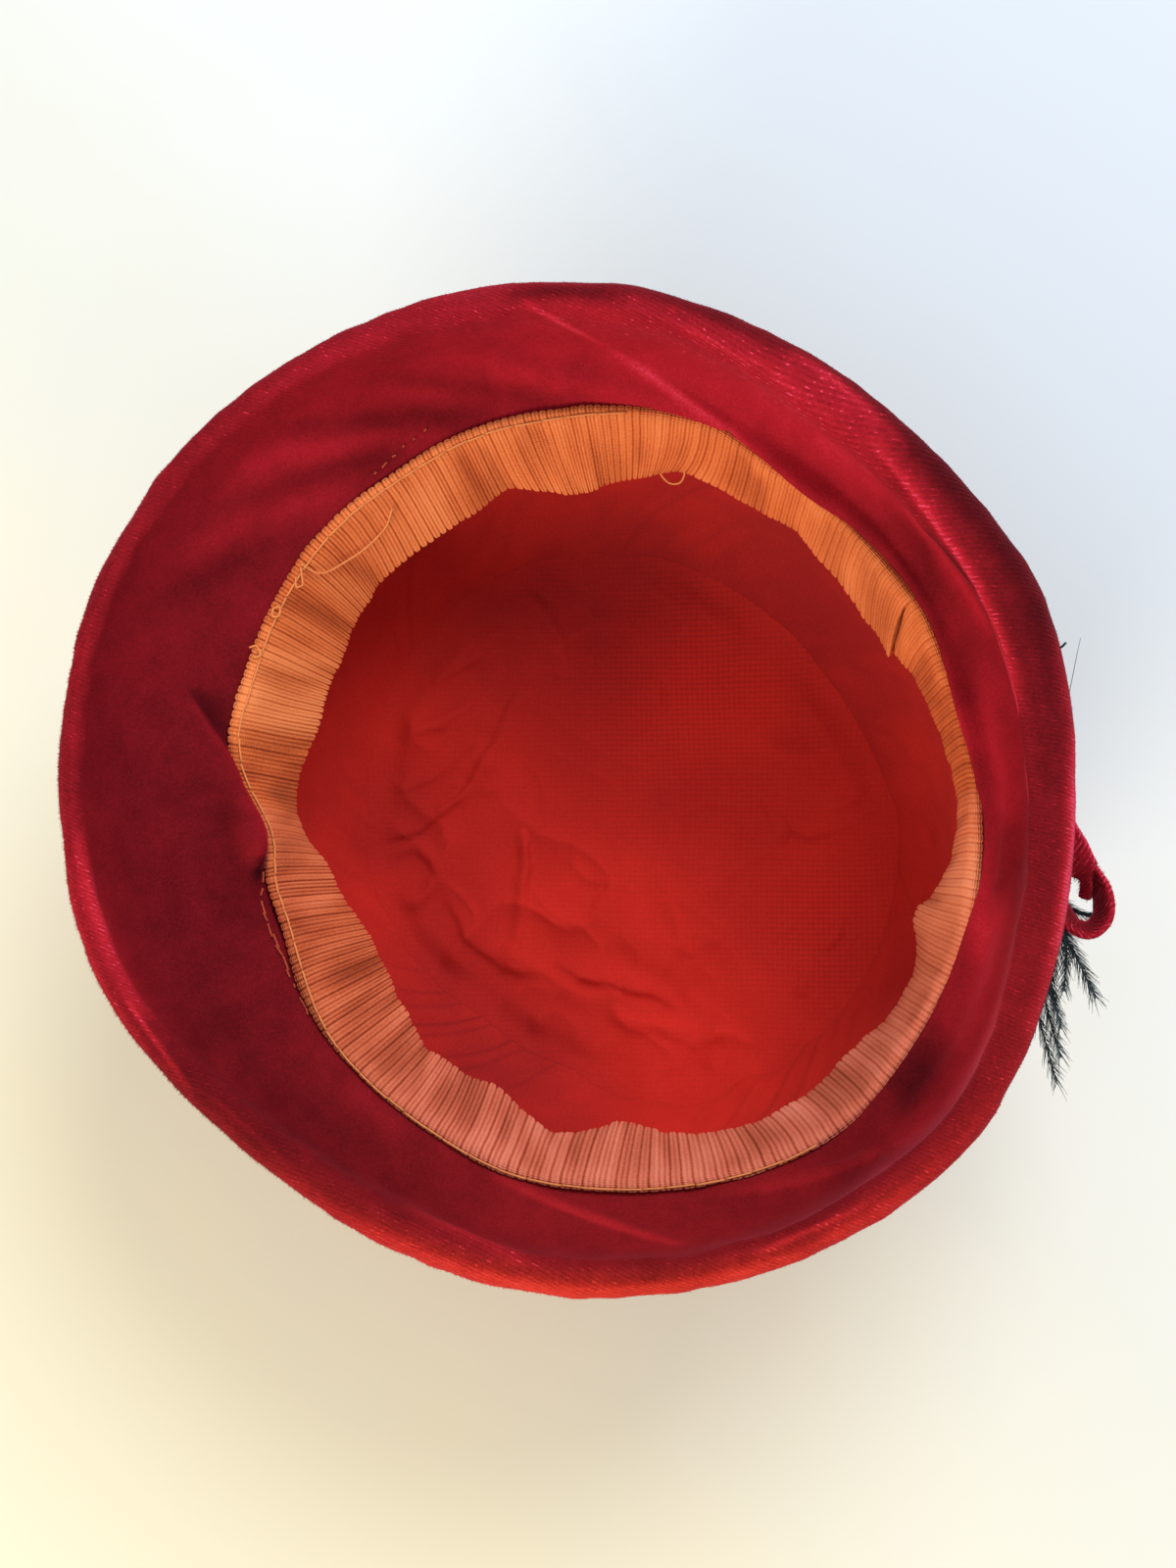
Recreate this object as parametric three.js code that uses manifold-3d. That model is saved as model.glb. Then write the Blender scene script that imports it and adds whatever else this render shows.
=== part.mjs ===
// Tilt hat in crimson velvet, lying crown-down with its head opening up.
// Millimetres, +Z up. The origin is the centre of the flat crown tip that the hat lies on.
// Azimuth is measured in degrees round the hat, anticlockwise from +X seen from above.

import * as THREE from "three";
import { mergeVertices } from "three/addons/utils/BufferGeometryUtils.js";
import Module from "manifold-3d";

const wasm = await Module();
wasm.setup();

// Driving dimensions.
const STATIONS = 64; // upright sections round every ring-shaped piece
const GAP = 0.3; // clearance between pieces that touch

const OPENING = { long: 92, short: 85, longAzimuth: 120 }; // head size oval, half axes
const OPENING_OFFSET = new THREE.Vector2(3.7, 2); // opening centre from the crown tip's centre
const CROWN_DEPTH = 72.6; // height of the seam between crown and brim
const CROWN_WALL = 2;
const SEAM_ALLOWANCE = 0.8; // crown and brim reach this far inside the opening's line
const SEAM_OUTSET = 1.2; // and this far outside it

const BRIM_WALL = 2.2; // brim thickness at the head opening
const BRIM_SLOPE = 22; // degrees, rise of the brim where it leaves the opening
const ROLL_START = -25; // degrees round the rolled edge where the outside meets it

const BAND_WIDTH = 25; // one-inch ribbon
const BAND_THICKNESS = 1;
const BAND_TURNOVER = 2.1; // part of the ribbon that lies on the brim's inner edge

const LINING_THICKNESS = 1;
const LINING_EASE = 0.7; // level clearance between crown and lining
const LINING_SEAM_HEIGHT = 14; // seam between lining side and lining tip
const LINING_TOP = 60; // upper edge of the lining, hidden behind the band

const KNOT = { radius: 5, azimuth: -6, height: 66 };
const STRIP_WIDTH = 8;
const STRIP_THICKNESS = 1.8;
const QUILL_THICKNESS = 1.4;
const HUB_RADIUS = 2; // where the feathers' quills are bound together

// Crown outline, as a share of the opening's radius at each height.
const CROWN_SECTIONS = [
  { height: 0, share: 0.64 },
  { height: 1.2, share: 0.735 },
  { height: 4, share: 0.8 },
  { height: 8.5, share: 0.838 },
  { height: 15, share: 0.872 },
  { height: 28, share: 0.93 },
  { height: 44, share: 0.975 },
  { height: 58, share: 0.997 },
  { height: 72.6, share: 1 },
];

// Brim and band round the hat, every 20 degrees of azimuth.
// reach: plan width of the brim; height: top of its edge; roll: radius of the rolled edge;
// tuckIn: degrees by which the roll hangs over the facing; lean: the band's lean from upright.
const RIM_SECTIONS = [
  { azimuth: 0, reach: 21, height: 107, roll: 5.5, tuckIn: 18, lean: 8 },
  { azimuth: 20, reach: 23.5, height: 109, roll: 6.5, tuckIn: 22, lean: 10 },
  { azimuth: 40, reach: 21.5, height: 109, roll: 6.5, tuckIn: 20, lean: 18 },
  { azimuth: 60, reach: 21, height: 108, roll: 6, tuckIn: 10, lean: 15 },
  { azimuth: 80, reach: 22.5, height: 107, roll: 4.5, tuckIn: -5, lean: 18 },
  { azimuth: 100, reach: 24, height: 105, roll: 4, tuckIn: -15, lean: 30 },
  { azimuth: 120, reach: 26.5, height: 103, roll: 3.5, tuckIn: -20, lean: 34 },
  { azimuth: 140, reach: 31, height: 101, roll: 3.2, tuckIn: -20, lean: 32 },
  { azimuth: 160, reach: 35, height: 99, roll: 3, tuckIn: -20, lean: 35 },
  { azimuth: 180, reach: 35.5, height: 98, roll: 3.2, tuckIn: -20, lean: 17 },
  { azimuth: 200, reach: 35.5, height: 98, roll: 3.5, tuckIn: -15, lean: 32 },
  { azimuth: 220, reach: 28.5, height: 99, roll: 4.2, tuckIn: -5, lean: 38 },
  { azimuth: 240, reach: 24.5, height: 100, roll: 4.6, tuckIn: 0, lean: 31 },
  { azimuth: 260, reach: 23, height: 101, roll: 4.4, tuckIn: 0, lean: 28 },
  { azimuth: 280, reach: 21.5, height: 102, roll: 4, tuckIn: 0, lean: 22 },
  { azimuth: 300, reach: 22, height: 103, roll: 4, tuckIn: 0, lean: 18 },
  { azimuth: 320, reach: 23.5, height: 104, roll: 4.2, tuckIn: 5, lean: 17 },
  { azimuth: 340, reach: 20.5, height: 106, roll: 4.8, tuckIn: 12, lean: 13 },
];

// Dents that push the head opening inwards (negative depth: outwards).
const DENT_FOOT = 25; // height below which the crown is free of them
const OPENING_DENTS = [
  { azimuth: 187, spread: 9, depth: 6 },
  { azimuth: 206, spread: 10, depth: 2.5 },
  { azimuth: 305, spread: 16, depth: -2 },
];

// Soft ridges of velvet on the brim's facing. along: 0 at the opening, 1 at the roll.
const BRIM_FOLDS = [
  { azimuth: 172, spread: 6, along: 0.45, breadth: 0.25, rise: 3 },
  { azimuth: 186, spread: 7, along: 0.15, breadth: 0.2, rise: 3 },
  { azimuth: 92, spread: 14, along: 0.3, breadth: 0.2, rise: 1.8 },
  { azimuth: 58, spread: 12, along: 0.25, breadth: 0.25, rise: 2 },
  { azimuth: 265, spread: 12, along: 0.35, breadth: 0.2, rise: 1.8 },
  { azimuth: 300, spread: 12, along: 0.3, breadth: 0.2, rise: 1.6 },
];

// Wrinkles of the lining tip. distance: from the tip's centre, as a share of its radius.
const LINING_WRINKLES = [
  { azimuth: 215, spread: 26, distance: 0.62, breadth: 0.12, rise: 2.2 },
  { azimuth: 262, spread: 24, distance: 0.7, breadth: 0.12, rise: 1.8 },
  { azimuth: 5, spread: 22, distance: 0.68, breadth: 0.14, rise: 1.6 },
  { azimuth: 140, spread: 20, distance: 0.55, breadth: 0.18, rise: 1.4 },
];

// Bow loop's centreline between its two ends at the knot, measured from the opening's
// centre; z above the floor.
const LOOP_ROUTE = [
  [103, -3.2, 73],
  [107.6, -5.6, 76],
  [110.8, -11.8, 78],
  [113.6, -18.3, 80],
  [115.8, -24.3, 81],
  [115.4, -29.2, 81.5],
  [112.2, -31.8, 81.5],
  [108.4, -30.4, 81],
  [105.8, -26.2, 79],
  [103.4, -21.4, 75],
  [100, -17, 70.5],
];
const LOOP_ENDS = { leaves: 35, returns: -48 }; // azimuths round the knot

// Cut tail of the same strip, from its end at the knot, lying inside the loop.
const TAIL_ROUTE = [
  [103.8, -10.4, 72],
  [107.6, -13.4, 74.5],
  [110, -17.8, 75.5],
  [110.6, -22.6, 75.5],
];
const TAIL_LEAVES = -4;

// Stripped feathers: each quill runs from the hub under the knot, past a bend, to its tip.
const QUILLS = [
  { bend: [104, -31, 66], tip: [102.5, -46.5, 71], width: 3.2 },
  { bend: [105.5, -31, 68], tip: [105.8, -45.5, 74], width: 3.2 },
  { bend: [106, -32, 68], tip: [112.6, -47, 75], width: 3.6 },
  { bend: [100.8, -35, 66], tip: [105, -54, 74], width: 3.4 },
  { bend: [99.4, -38, 65], tip: [104.8, -60.5, 73], width: 3.4 },
  { bend: [97.5, -39, 63], tip: [104, -66.5, 71], width: 3.4 },
  { bend: [104.6, 11, 67], tip: [107, 33.5, 76], width: 2.2 },
  { bend: [101.6, 12, 66], tip: [104.4, 35, 73], width: 2.2 },
  { bend: [99.6, 17, 65], tip: [99.6, 48, 71], width: 2.2 },
];

const VELVET = new THREE.MeshStandardMaterial({ color: 0x8a1a24, roughness: 0.9 });
const PETERSHAM = new THREE.MeshStandardMaterial({ color: 0xd0663a, roughness: 0.8 });
const LINING = new THREE.MeshStandardMaterial({ color: 0x9c2019, roughness: 0.9 });
const FEATHER = new THREE.MeshStandardMaterial({ color: 0x10262b, roughness: 0.6 });

const radians = THREE.MathUtils.degToRad;

function heading(degrees) {
  return new THREE.Vector2(Math.cos(radians(degrees)), Math.sin(radians(degrees)));
}

// Signed difference of two azimuths, from -180 to 180 degrees.
function turnBetween(from, to) {
  return THREE.MathUtils.euclideanModulo(to - from + 180, 360) - 180;
}

// Bell curve: 1 at the middle, near 0 past twice the spread.
function bell(distance, spread) {
  return Math.exp(-((distance / spread) ** 2));
}

// One column of the rim table at any azimuth, on a smooth closed curve through its rows.
function rimValue(column, azimuth) {
  const count = RIM_SECTIONS.length;
  const place = (THREE.MathUtils.euclideanModulo(azimuth, 360) * count) / 360;
  const row = Math.floor(place);
  const t = place - row;
  const [a, b, c, d] = [-1, 0, 1, 2].map((k) => RIM_SECTIONS[(row + k + count) % count][column]);
  return b + 0.5 * t * (c - a + t * (2 * a - 5 * b + 4 * c - d + t * (3 * (b - c) + d - a)));
}

// Radius of the plain head oval, before its dents.
function ovalRadius(azimuth) {
  const { x, y } = heading(azimuth - OPENING.longAzimuth);
  return 1 / Math.hypot(x / OPENING.long, y / OPENING.short);
}

// The dents die out from the opening down to the crown's middle.
function openingRadius(azimuth, height = CROWN_DEPTH) {
  const strength = THREE.MathUtils.smoothstep(height, DENT_FOOT, CROWN_DEPTH);
  const dents = OPENING_DENTS.map(
    ({ azimuth: middle, spread, depth }) => depth * bell(turnBetween(middle, azimuth), spread),
  );
  return dents.reduce((radius, dent) => radius - dent * strength, ovalRadius(azimuth));
}

// A point of the hat: the axis leans from the tip's centre to the opening's centre.
function placed(azimuth, radius, height) {
  const lean = OPENING_OFFSET.clone().multiplyScalar(Math.min(height / CROWN_DEPTH, 1));
  const spoke = heading(azimuth).multiplyScalar(radius).add(lean);
  return new THREE.Vector3(spoke.x, spoke.y, height);
}

// A profile shifted to its own left side, keeping its number of points.
function shifted(profile, distance) {
  return profile.map((point, i) => {
    const before = profile[Math.max(i - 1, 0)];
    const after = profile[Math.min(i + 1, profile.length - 1)];
    const along = after.clone().sub(before).normalize();
    return point.clone().add(new THREE.Vector2(-along.y, along.x).multiplyScalar(distance));
  });
}

// Closed ring: profileAt(azimuth) gives radius and height points, anticlockwise.
function ringSolid(profileAt) {
  const positions = [];
  const faces = [];
  let count = 0;
  for (let i = 0; i < STATIONS; i++) {
    const azimuth = (360 * i) / STATIONS;
    const profile = profileAt(azimuth);
    count = profile.length;
    profile.forEach(({ x, y }) => positions.push(...placed(azimuth, x, y).toArray()));
  }
  for (let i = 0; i < STATIONS; i++) {
    const next = (i + 1) % STATIONS;
    for (let j = 0; j < count; j++) {
      const k = (j + 1) % count;
      addQuad(faces, [i * count + j, next * count + j, next * count + k, i * count + k]);
    }
  }
  return indexed(positions, faces);
}

// Cup or disc: profileAt(azimuth) runs from the lower axis point, outwards, round the edge
// and back to the upper axis point, whose heights are given.
function cupSolid(profileAt, lowerCentre, upperCentre) {
  const positions = [...placed(0, 0, lowerCentre).toArray(), ...placed(0, 0, upperCentre).toArray()];
  const faces = [];
  const count = profileAt(0).length;
  for (let i = 0; i < STATIONS; i++) {
    const azimuth = (360 * i) / STATIONS;
    profileAt(azimuth).forEach(({ x, y }) => positions.push(...placed(azimuth, x, y).toArray()));
  }
  for (let i = 0; i < STATIONS; i++) {
    const here = 2 + i * count;
    const next = 2 + ((i + 1) % STATIONS) * count;
    faces.push(0, next, here);
    faces.push(1, here + count - 1, next + count - 1);
    for (let j = 0; j < count - 1; j++) {
      addQuad(faces, [here + j, next + j, next + j + 1, here + j + 1]);
    }
  }
  return indexed(positions, faces);
}

function addQuad(faces, [a, b, c, d]) {
  faces.push(a, b, c, a, c, d);
}

function indexed(positions, faces) {
  const geometry = new THREE.BufferGeometry();
  geometry.setAttribute("position", new THREE.Float32BufferAttribute(positions, 3));
  geometry.setIndex(faces);
  geometry.computeVertexNormals();
  return geometry;
}

function piece(name, geometry, material) {
  const mesh = new THREE.Mesh(geometry, material);
  mesh.name = name;
  return mesh;
}

// Outside of the crown in one upright section, from the flat tip's edge to the seam.
function crownOutside(azimuth) {
  return CROWN_SECTIONS.map(({ height, share }) => {
    const outset = (SEAM_OUTSET * height) / CROWN_DEPTH;
    return new THREE.Vector2(openingRadius(azimuth, height) * share + outset, height);
  });
}

function crownInside(azimuth) {
  const inside = shifted(crownOutside(azimuth), CROWN_WALL);
  inside[0].set(inside[0].x, CROWN_WALL);
  inside.at(-1).set(openingRadius(azimuth) - SEAM_ALLOWANCE, CROWN_DEPTH);
  return inside;
}

function crown() {
  const profile = (azimuth) => [...crownOutside(azimuth), ...crownInside(azimuth).reverse()];
  return piece("crown", cupSolid(profile, 0, CROWN_WALL), VELVET);
}

// Centre and radius of the rolled edge in one upright section.
function brimRoll(azimuth) {
  const radius = rimValue("roll", azimuth);
  const edge = ovalRadius(azimuth) + rimValue("reach", azimuth);
  const centre = new THREE.Vector2(edge - radius, rimValue("height", azimuth) - radius);
  return { onRoll: (degrees) => heading(degrees).multiplyScalar(radius).add(centre) };
}

// The brim's inner face, from the head opening to where the rolled edge starts.
function brimFacing(azimuth) {
  const { onRoll } = brimRoll(azimuth);
  const end = facingEnd(azimuth);
  const start = new THREE.Vector2(openingRadius(azimuth) - SEAM_ALLOWANCE, CROWN_DEPTH + GAP + BRIM_WALL);
  return foldedFacing(curveBetween(start, heading(BRIM_SLOPE), onRoll(end), heading(end - 90)), azimuth);
}

// Angle round the roll at which the facing meets it.
function facingEnd(azimuth) {
  return 180 + rimValue("tuckIn", azimuth);
}

// The brim's upright section: seat on the crown, outside, rolled edge, and facing.
function brimProfile(azimuth) {
  const opening = openingRadius(azimuth);
  const { onRoll } = brimRoll(azimuth);
  const seatHeight = CROWN_DEPTH + GAP;
  const seatInner = new THREE.Vector2(opening - SEAM_ALLOWANCE, seatHeight);
  const seatOuter = new THREE.Vector2(opening + SEAM_OUTSET, seatHeight);
  const outside = curveBetween(seatOuter, heading(BRIM_SLOPE), onRoll(ROLL_START), heading(ROLL_START + 90));
  const rollPoints = [0.2, 0.4, 0.6, 0.8].map((t) =>
    onRoll(THREE.MathUtils.lerp(ROLL_START, facingEnd(azimuth), t)),
  );
  return [seatInner, ...outside.getPoints(4), ...rollPoints, ...brimFacing(azimuth).reverse()];
}

// Cubic curve between two points with given headings.
function curveBetween(start, startHeading, end, endHeading) {
  const reach = 0.38 * start.distanceTo(end);
  const leave = startHeading.clone().multiplyScalar(reach).add(start);
  const arrive = end.clone().sub(endHeading.clone().multiplyScalar(reach));
  return new THREE.CubicBezierCurve(start, leave, arrive, end);
}

// Facing points with the soft ridges raised off the curve.
function foldedFacing(facing, azimuth) {
  const steps = 5;
  return facing.getPoints(steps).map((point, i) => {
    const along = i / steps;
    const rise = BRIM_FOLDS.reduce(
      (sum, fold) =>
        sum + fold.rise * bell(turnBetween(fold.azimuth, azimuth), fold.spread) * bell(along - fold.along, fold.breadth),
      0,
    );
    const fade = Math.sin(Math.PI * along);
    const { x, y } = facing.getTangent(along);
    return point.add(new THREE.Vector2(-y, x).multiplyScalar(rise * fade));
  });
}

function brim() {
  return piece("brim", ringSolid(brimProfile), VELVET);
}

// Height of the brim's facing at a radius near the head opening.
function facingHeight(azimuth, radius) {
  const facing = brimFacing(azimuth);
  const outer = facing.findIndex((point) => point.x > radius);
  const [near, far] = [facing[outer - 1], facing[outer]];
  return THREE.MathUtils.mapLinear(radius, near.x, far.x, near.y, far.y);
}

// The band lies on the brim's inner edge, turns over it and leans down into the crown.
function bandProfile(azimuth) {
  const opening = openingRadius(azimuth);
  const lean = radians(rimValue("lean", azimuth));
  const raised = BAND_THICKNESS + 2 * GAP;
  const sewn = new THREE.Vector2(opening, facingHeight(azimuth, opening) + raised);
  const kneeRadius = opening - SEAM_ALLOWANCE - GAP - BAND_THICKNESS;
  const knee = new THREE.Vector2(kneeRadius, CROWN_DEPTH + GAP + BRIM_WALL + raised);
  const fall = new THREE.Vector2(-Math.sin(lean), -Math.cos(lean)).multiplyScalar(BAND_WIDTH - BAND_TURNOVER);
  const middle = knee.clone().addScaledVector(fall, 0.45);
  const top = [sewn, knee, middle, knee.clone().add(fall)];
  return [...top, ...shifted(top, BAND_THICKNESS).reverse()];
}

function sweatband() {
  return piece("sweatband", ringSolid(bandProfile), PETERSHAM);
}

// Radius of the lining's outer face at a height, just inside the crown's inner face.
function liningRadius(azimuth, height) {
  const inside = crownInside(azimuth);
  const upper = inside.findIndex((point) => point.y > height);
  const [low, high] = [inside[upper - 1], inside[upper]];
  const share = (height - low.y) / (high.y - low.y);
  return THREE.MathUtils.lerp(low.x, high.x, share) - LINING_EASE;
}

function liningSideProfile(azimuth) {
  const heights = [LINING_SEAM_HEIGHT, 28, 44, LINING_TOP];
  const outer = heights.map((height) => new THREE.Vector2(liningRadius(azimuth, height), height));
  const inner = outer.map(({ x, y }) => new THREE.Vector2(x - LINING_THICKNESS, y));
  return [...outer, ...inner.reverse()];
}

function liningSide() {
  return piece("lining_side", ringSolid(liningSideProfile), LINING);
}

// Height of the lining tip's upper face: a shallow dish with soft wrinkles.
function liningTipHeight(azimuth, distance) {
  const dish = 7 + 7 * distance ** 4;
  const wrinkles = LINING_WRINKLES.reduce(
    (sum, fold) =>
      sum + fold.rise * bell(turnBetween(fold.azimuth, azimuth), fold.spread) * bell(distance - fold.distance, fold.breadth),
    0,
  );
  return dish + wrinkles;
}

function liningTipProfile(azimuth) {
  const radius = liningRadius(azimuth, LINING_SEAM_HEIGHT) - LINING_THICKNESS - GAP;
  const upper = [0.25, 0.45, 0.62, 0.78, 0.9, 1].map(
    (distance) => new THREE.Vector2(radius * distance, liningTipHeight(azimuth, distance)),
  );
  const lower = upper.map(({ x, y }) => new THREE.Vector2(x, y - LINING_THICKNESS));
  return [...lower, ...upper.reverse()];
}

function liningTip() {
  const centre = liningTipHeight(0, 0);
  return piece("lining_tip", cupSolid(liningTipProfile, centre - LINING_THICKNESS, centre), LINING);
}

// Routes are measured from the opening's centre.
function routePoints(route) {
  return route.map(([x, y, z]) => new THREE.Vector3(x + OPENING_OFFSET.x, y + OPENING_OFFSET.y, z));
}

// Flat strip along a smooth route: its width stands upright, its thickness is level.
function stripSolid(points, widthAt, thickness, steps) {
  const curve = new THREE.CatmullRomCurve3(points);
  const up = new THREE.Vector3(0, 0, 1);
  const positions = [];
  const faces = [];
  for (let i = 0; i <= steps; i++) {
    const t = i / steps;
    const point = curve.getPoint(t);
    const across = curve.getTangent(t).cross(up).normalize().multiplyScalar(thickness / 2);
    const half = up.clone().multiplyScalar(widthAt(t) / 2);
    for (const [side, rise] of [[1, -1], [1, 1], [-1, 1], [-1, -1]]) {
      const corner = point.clone().addScaledVector(across, side).addScaledVector(half, rise);
      positions.push(...corner.toArray());
    }
  }
  for (let i = 0; i < steps; i++) {
    for (let j = 0; j < 4; j++) {
      const k = (j + 1) % 4;
      addQuad(faces, [i * 4 + j, i * 4 + 4 + j, i * 4 + 4 + k, i * 4 + k]);
    }
  }
  addQuad(faces, [0, 1, 2, 3]);
  addQuad(faces, [steps * 4 + 3, steps * 4 + 2, steps * 4 + 1, steps * 4]);
  return indexed(positions, faces);
}

// The knot sits against the crown's outside, just under the brim.
function knotCentre() {
  const radius = openingRadius(KNOT.azimuth) + SEAM_OUTSET + GAP + KNOT.radius;
  return placed(KNOT.azimuth, radius, KNOT.height);
}

// Where a strip's end meets the knot's side.
function knotSeat(azimuth) {
  const side = heading(azimuth).multiplyScalar(KNOT.radius + GAP);
  return knotCentre().add(new THREE.Vector3(side.x, side.y, 0));
}

function bowKnot() {
  const geometry = new THREE.SphereGeometry(KNOT.radius, 14, 8);
  const knot = piece("bow_knot", geometry, VELVET);
  knot.position.copy(knotCentre());
  return knot;
}

function bowLoop() {
  const points = [knotSeat(LOOP_ENDS.leaves), ...routePoints(LOOP_ROUTE), knotSeat(LOOP_ENDS.returns)];
  return piece("bow_loop", stripSolid(points, () => STRIP_WIDTH, STRIP_THICKNESS, 26), VELVET);
}

function bowTail() {
  const points = [knotSeat(TAIL_LEAVES), ...routePoints(TAIL_ROUTE)];
  const width = (t) => STRIP_WIDTH * THREE.MathUtils.lerp(0.9, 0.6, t);
  return piece("bow_tail", stripSolid(points, width, STRIP_THICKNESS, 8), VELVET);
}

function asManifold(geometry) {
  const bare = geometry.clone();
  bare.deleteAttribute("normal");
  bare.deleteAttribute("uv");
  const merged = mergeVertices(bare);
  const vertProperties = new Float32Array(merged.attributes.position.array);
  const triVerts = new Uint32Array(merged.index.array);
  return new wasm.Manifold(new wasm.Mesh({ numProp: 3, vertProperties, triVerts }));
}

// Outer form of the feathers: slim blades that fan out from one hub under the knot.
function featherSpray() {
  const hubCentre = knotCentre().sub(new THREE.Vector3(0, 0, KNOT.radius + GAP + HUB_RADIUS));
  const hub = new THREE.SphereGeometry(HUB_RADIUS, 10, 6).translate(...hubCentre.toArray());
  const spray = QUILLS.reduce((solid, { tip, bend, width }) => {
    const taper = (t) => width * THREE.MathUtils.lerp(0.5, 1, Math.sin(Math.PI * t));
    const blade = stripSolid([hubCentre, ...routePoints([bend, tip])], taper, QUILL_THICKNESS, 6);
    return solid.add(asManifold(blade));
  }, asManifold(hub));
  const { vertProperties, triVerts } = spray.getMesh();
  return piece("feather_spray", indexed([...vertProperties], [...triVerts]), FEATHER);
}

const group = new THREE.Group();
group.add(crown(), brim(), sweatband(), liningSide(), liningTip());
group.add(bowKnot(), bowLoop(), bowTail(), featherSpray());

export default group;
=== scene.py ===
# Looks of the velvet tilt hat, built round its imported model.
# Shapes are worked out in millimetres, as in the model's source, and go to Blender in metres.
# Azimuth is in degrees round the hat, anticlockwise from +X seen from above.

import math

import bmesh
import bpy
import numpy as np
from mathutils import Matrix, Vector


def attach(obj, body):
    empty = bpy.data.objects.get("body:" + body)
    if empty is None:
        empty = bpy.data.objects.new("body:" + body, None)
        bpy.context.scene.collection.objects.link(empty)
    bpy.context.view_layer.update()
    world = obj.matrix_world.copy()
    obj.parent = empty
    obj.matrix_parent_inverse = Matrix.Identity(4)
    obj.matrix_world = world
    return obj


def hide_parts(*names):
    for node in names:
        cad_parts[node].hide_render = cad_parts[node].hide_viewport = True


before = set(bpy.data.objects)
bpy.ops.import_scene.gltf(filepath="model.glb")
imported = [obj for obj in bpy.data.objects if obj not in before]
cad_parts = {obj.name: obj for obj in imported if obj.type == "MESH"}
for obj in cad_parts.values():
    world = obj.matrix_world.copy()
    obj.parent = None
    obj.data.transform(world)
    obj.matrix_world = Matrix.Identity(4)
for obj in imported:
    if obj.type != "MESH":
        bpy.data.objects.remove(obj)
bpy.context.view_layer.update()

MM = 0.001
SMALLEST = 1e-9  # keeps a division from failing
CURVE_STEPS = 24  # steps of a three-point path, or of each span of a longer one
NEARLY_UPRIGHT = 0.9  # past this share of a way that goes up, another helper way is used


# ---- sizes, as the model has them
OPENING_LONG, OPENING_SHORT, OPENING_AZIMUTH = 92, 85, 120
OPENING_OFFSET = (3.7, 2)
CROWN_DEPTH = 72.6
CROWN_WALL = 2
SEAM_ALLOWANCE = 0.8
SEAM_OUTSET = 1.2
GAP = 0.3
BRIM_WALL = 2.2
BRIM_SLOPE = 22
ROLL_START = -25
BAND_WIDTH = 25
BAND_THICKNESS = 1
LINING_THICKNESS = 1
LINING_EASE = 0.7
LINING_SEAM_HEIGHT = 14
LINING_TOP = 60
DENT_FOOT = 25
KNOT_RADIUS, KNOT_AZIMUTH, KNOT_HEIGHT = 5, -6, 66
STRIP_WIDTH, STRIP_THICKNESS = 8, 1.8


def table(columns, *rows):
    """Rows with named columns."""
    names = columns.split()
    return [dict(zip(names, row)) for row in rows]


CROWN_SECTIONS = table(
    "height share",
    (0, 0.64), (1.2, 0.735), (4, 0.8), (8.5, 0.838), (15, 0.872),
    (28, 0.93), (44, 0.975), (58, 0.997), (72.6, 1),
)

# Brim and band every 20 degrees of azimuth, from 0.
RIM_SECTIONS = table(
    "reach height roll tuck_in lean",
    (21, 107, 5.5, 18, 8), (23.5, 109, 6.5, 22, 10), (21.5, 109, 6.5, 20, 18),
    (21, 108, 6, 10, 15), (22.5, 107, 4.5, -5, 18), (24, 105, 4, -15, 30),
    (26.5, 103, 3.5, -20, 34), (31, 101, 3.2, -20, 32), (35, 99, 3, -20, 35),
    (35.5, 98, 3.2, -20, 17), (35.5, 98, 3.5, -15, 32), (28.5, 99, 4.2, -5, 38),
    (24.5, 100, 4.6, 0, 31), (23, 101, 4.4, 0, 28), (21.5, 102, 4, 0, 22),
    (22, 103, 4, 0, 18), (23.5, 104, 4.2, 5, 17), (20.5, 106, 4.8, 12, 13),
)

OPENING_DENTS = table("azimuth spread depth", (187, 9, 6), (206, 10, 2.5), (305, 16, -2))

# Folds of the velvet facing: each runs along a smooth path of three places (azimuth, and along:
# 0 at the opening, 1 at the roll). left and right: how far it fades to either side, in mm.
FACING_FOLDS = table(
    "azimuths alongs rise left right",
    ((166, 170, 178), (0.34, 0.16, 0.03), 2.6, 15, 1),
    ((172, 184, 196), (0.12, 0.05, 0.16), 2, 7, 2),
    ((70, 88, 104), (0.1, 0.15, 0.4), 2.4, 8, 2.4),
    ((66, 82, 97), (0.2, 0.42, 0.98), -0.6, 1, 1.2),
    ((252, 266, 283), (0.2, 0.24, 0.72), 1.6, 6, 2.4),
    ((285, 297, 308), (0.1, 0.2, 0.52), 1.5, 5, 2.2),
    ((28, 52, 82), (0.06, 0.07, 0.12), 1.6, 4, 1.4),
    ((118, 128, 140), (0.2, 0.5, 0.66), 1.2, 4, 6),
    ((122, 134, 150), (0.08, 0.4, 0.55), 1.4, 5, 5),
    ((340, 360, 388), (0.3, 0.34, 0.42), 1.4, 4, 3),
    ((306, 326, 350), (0.3, 0.45, 0.5), 1, 5, 5),
    ((205, 225, 245), (0.45, 0.5, 0.45), 1.2, 9, 9),
)

# Rolls of velvet over the band's sewn edge: how far each rises and reaches inwards.
LIPS = table(
    "azimuth spread rise overhang",
    (186, 8, 4.2, 4.2),
    (56, 9, 2, 3.4),
    (36, 10, 1.4, 0.3),
    (11, 12, 2, 3),
    (326, 20, 1.6, 1.2),
)
LIP_START, LIP_BREADTH = 0.02, 0.16
TUCK_HOLE = {"azimuth": 192.5, "along": 0.07, "radius": 1.1, "depth": 2.2}

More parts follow.
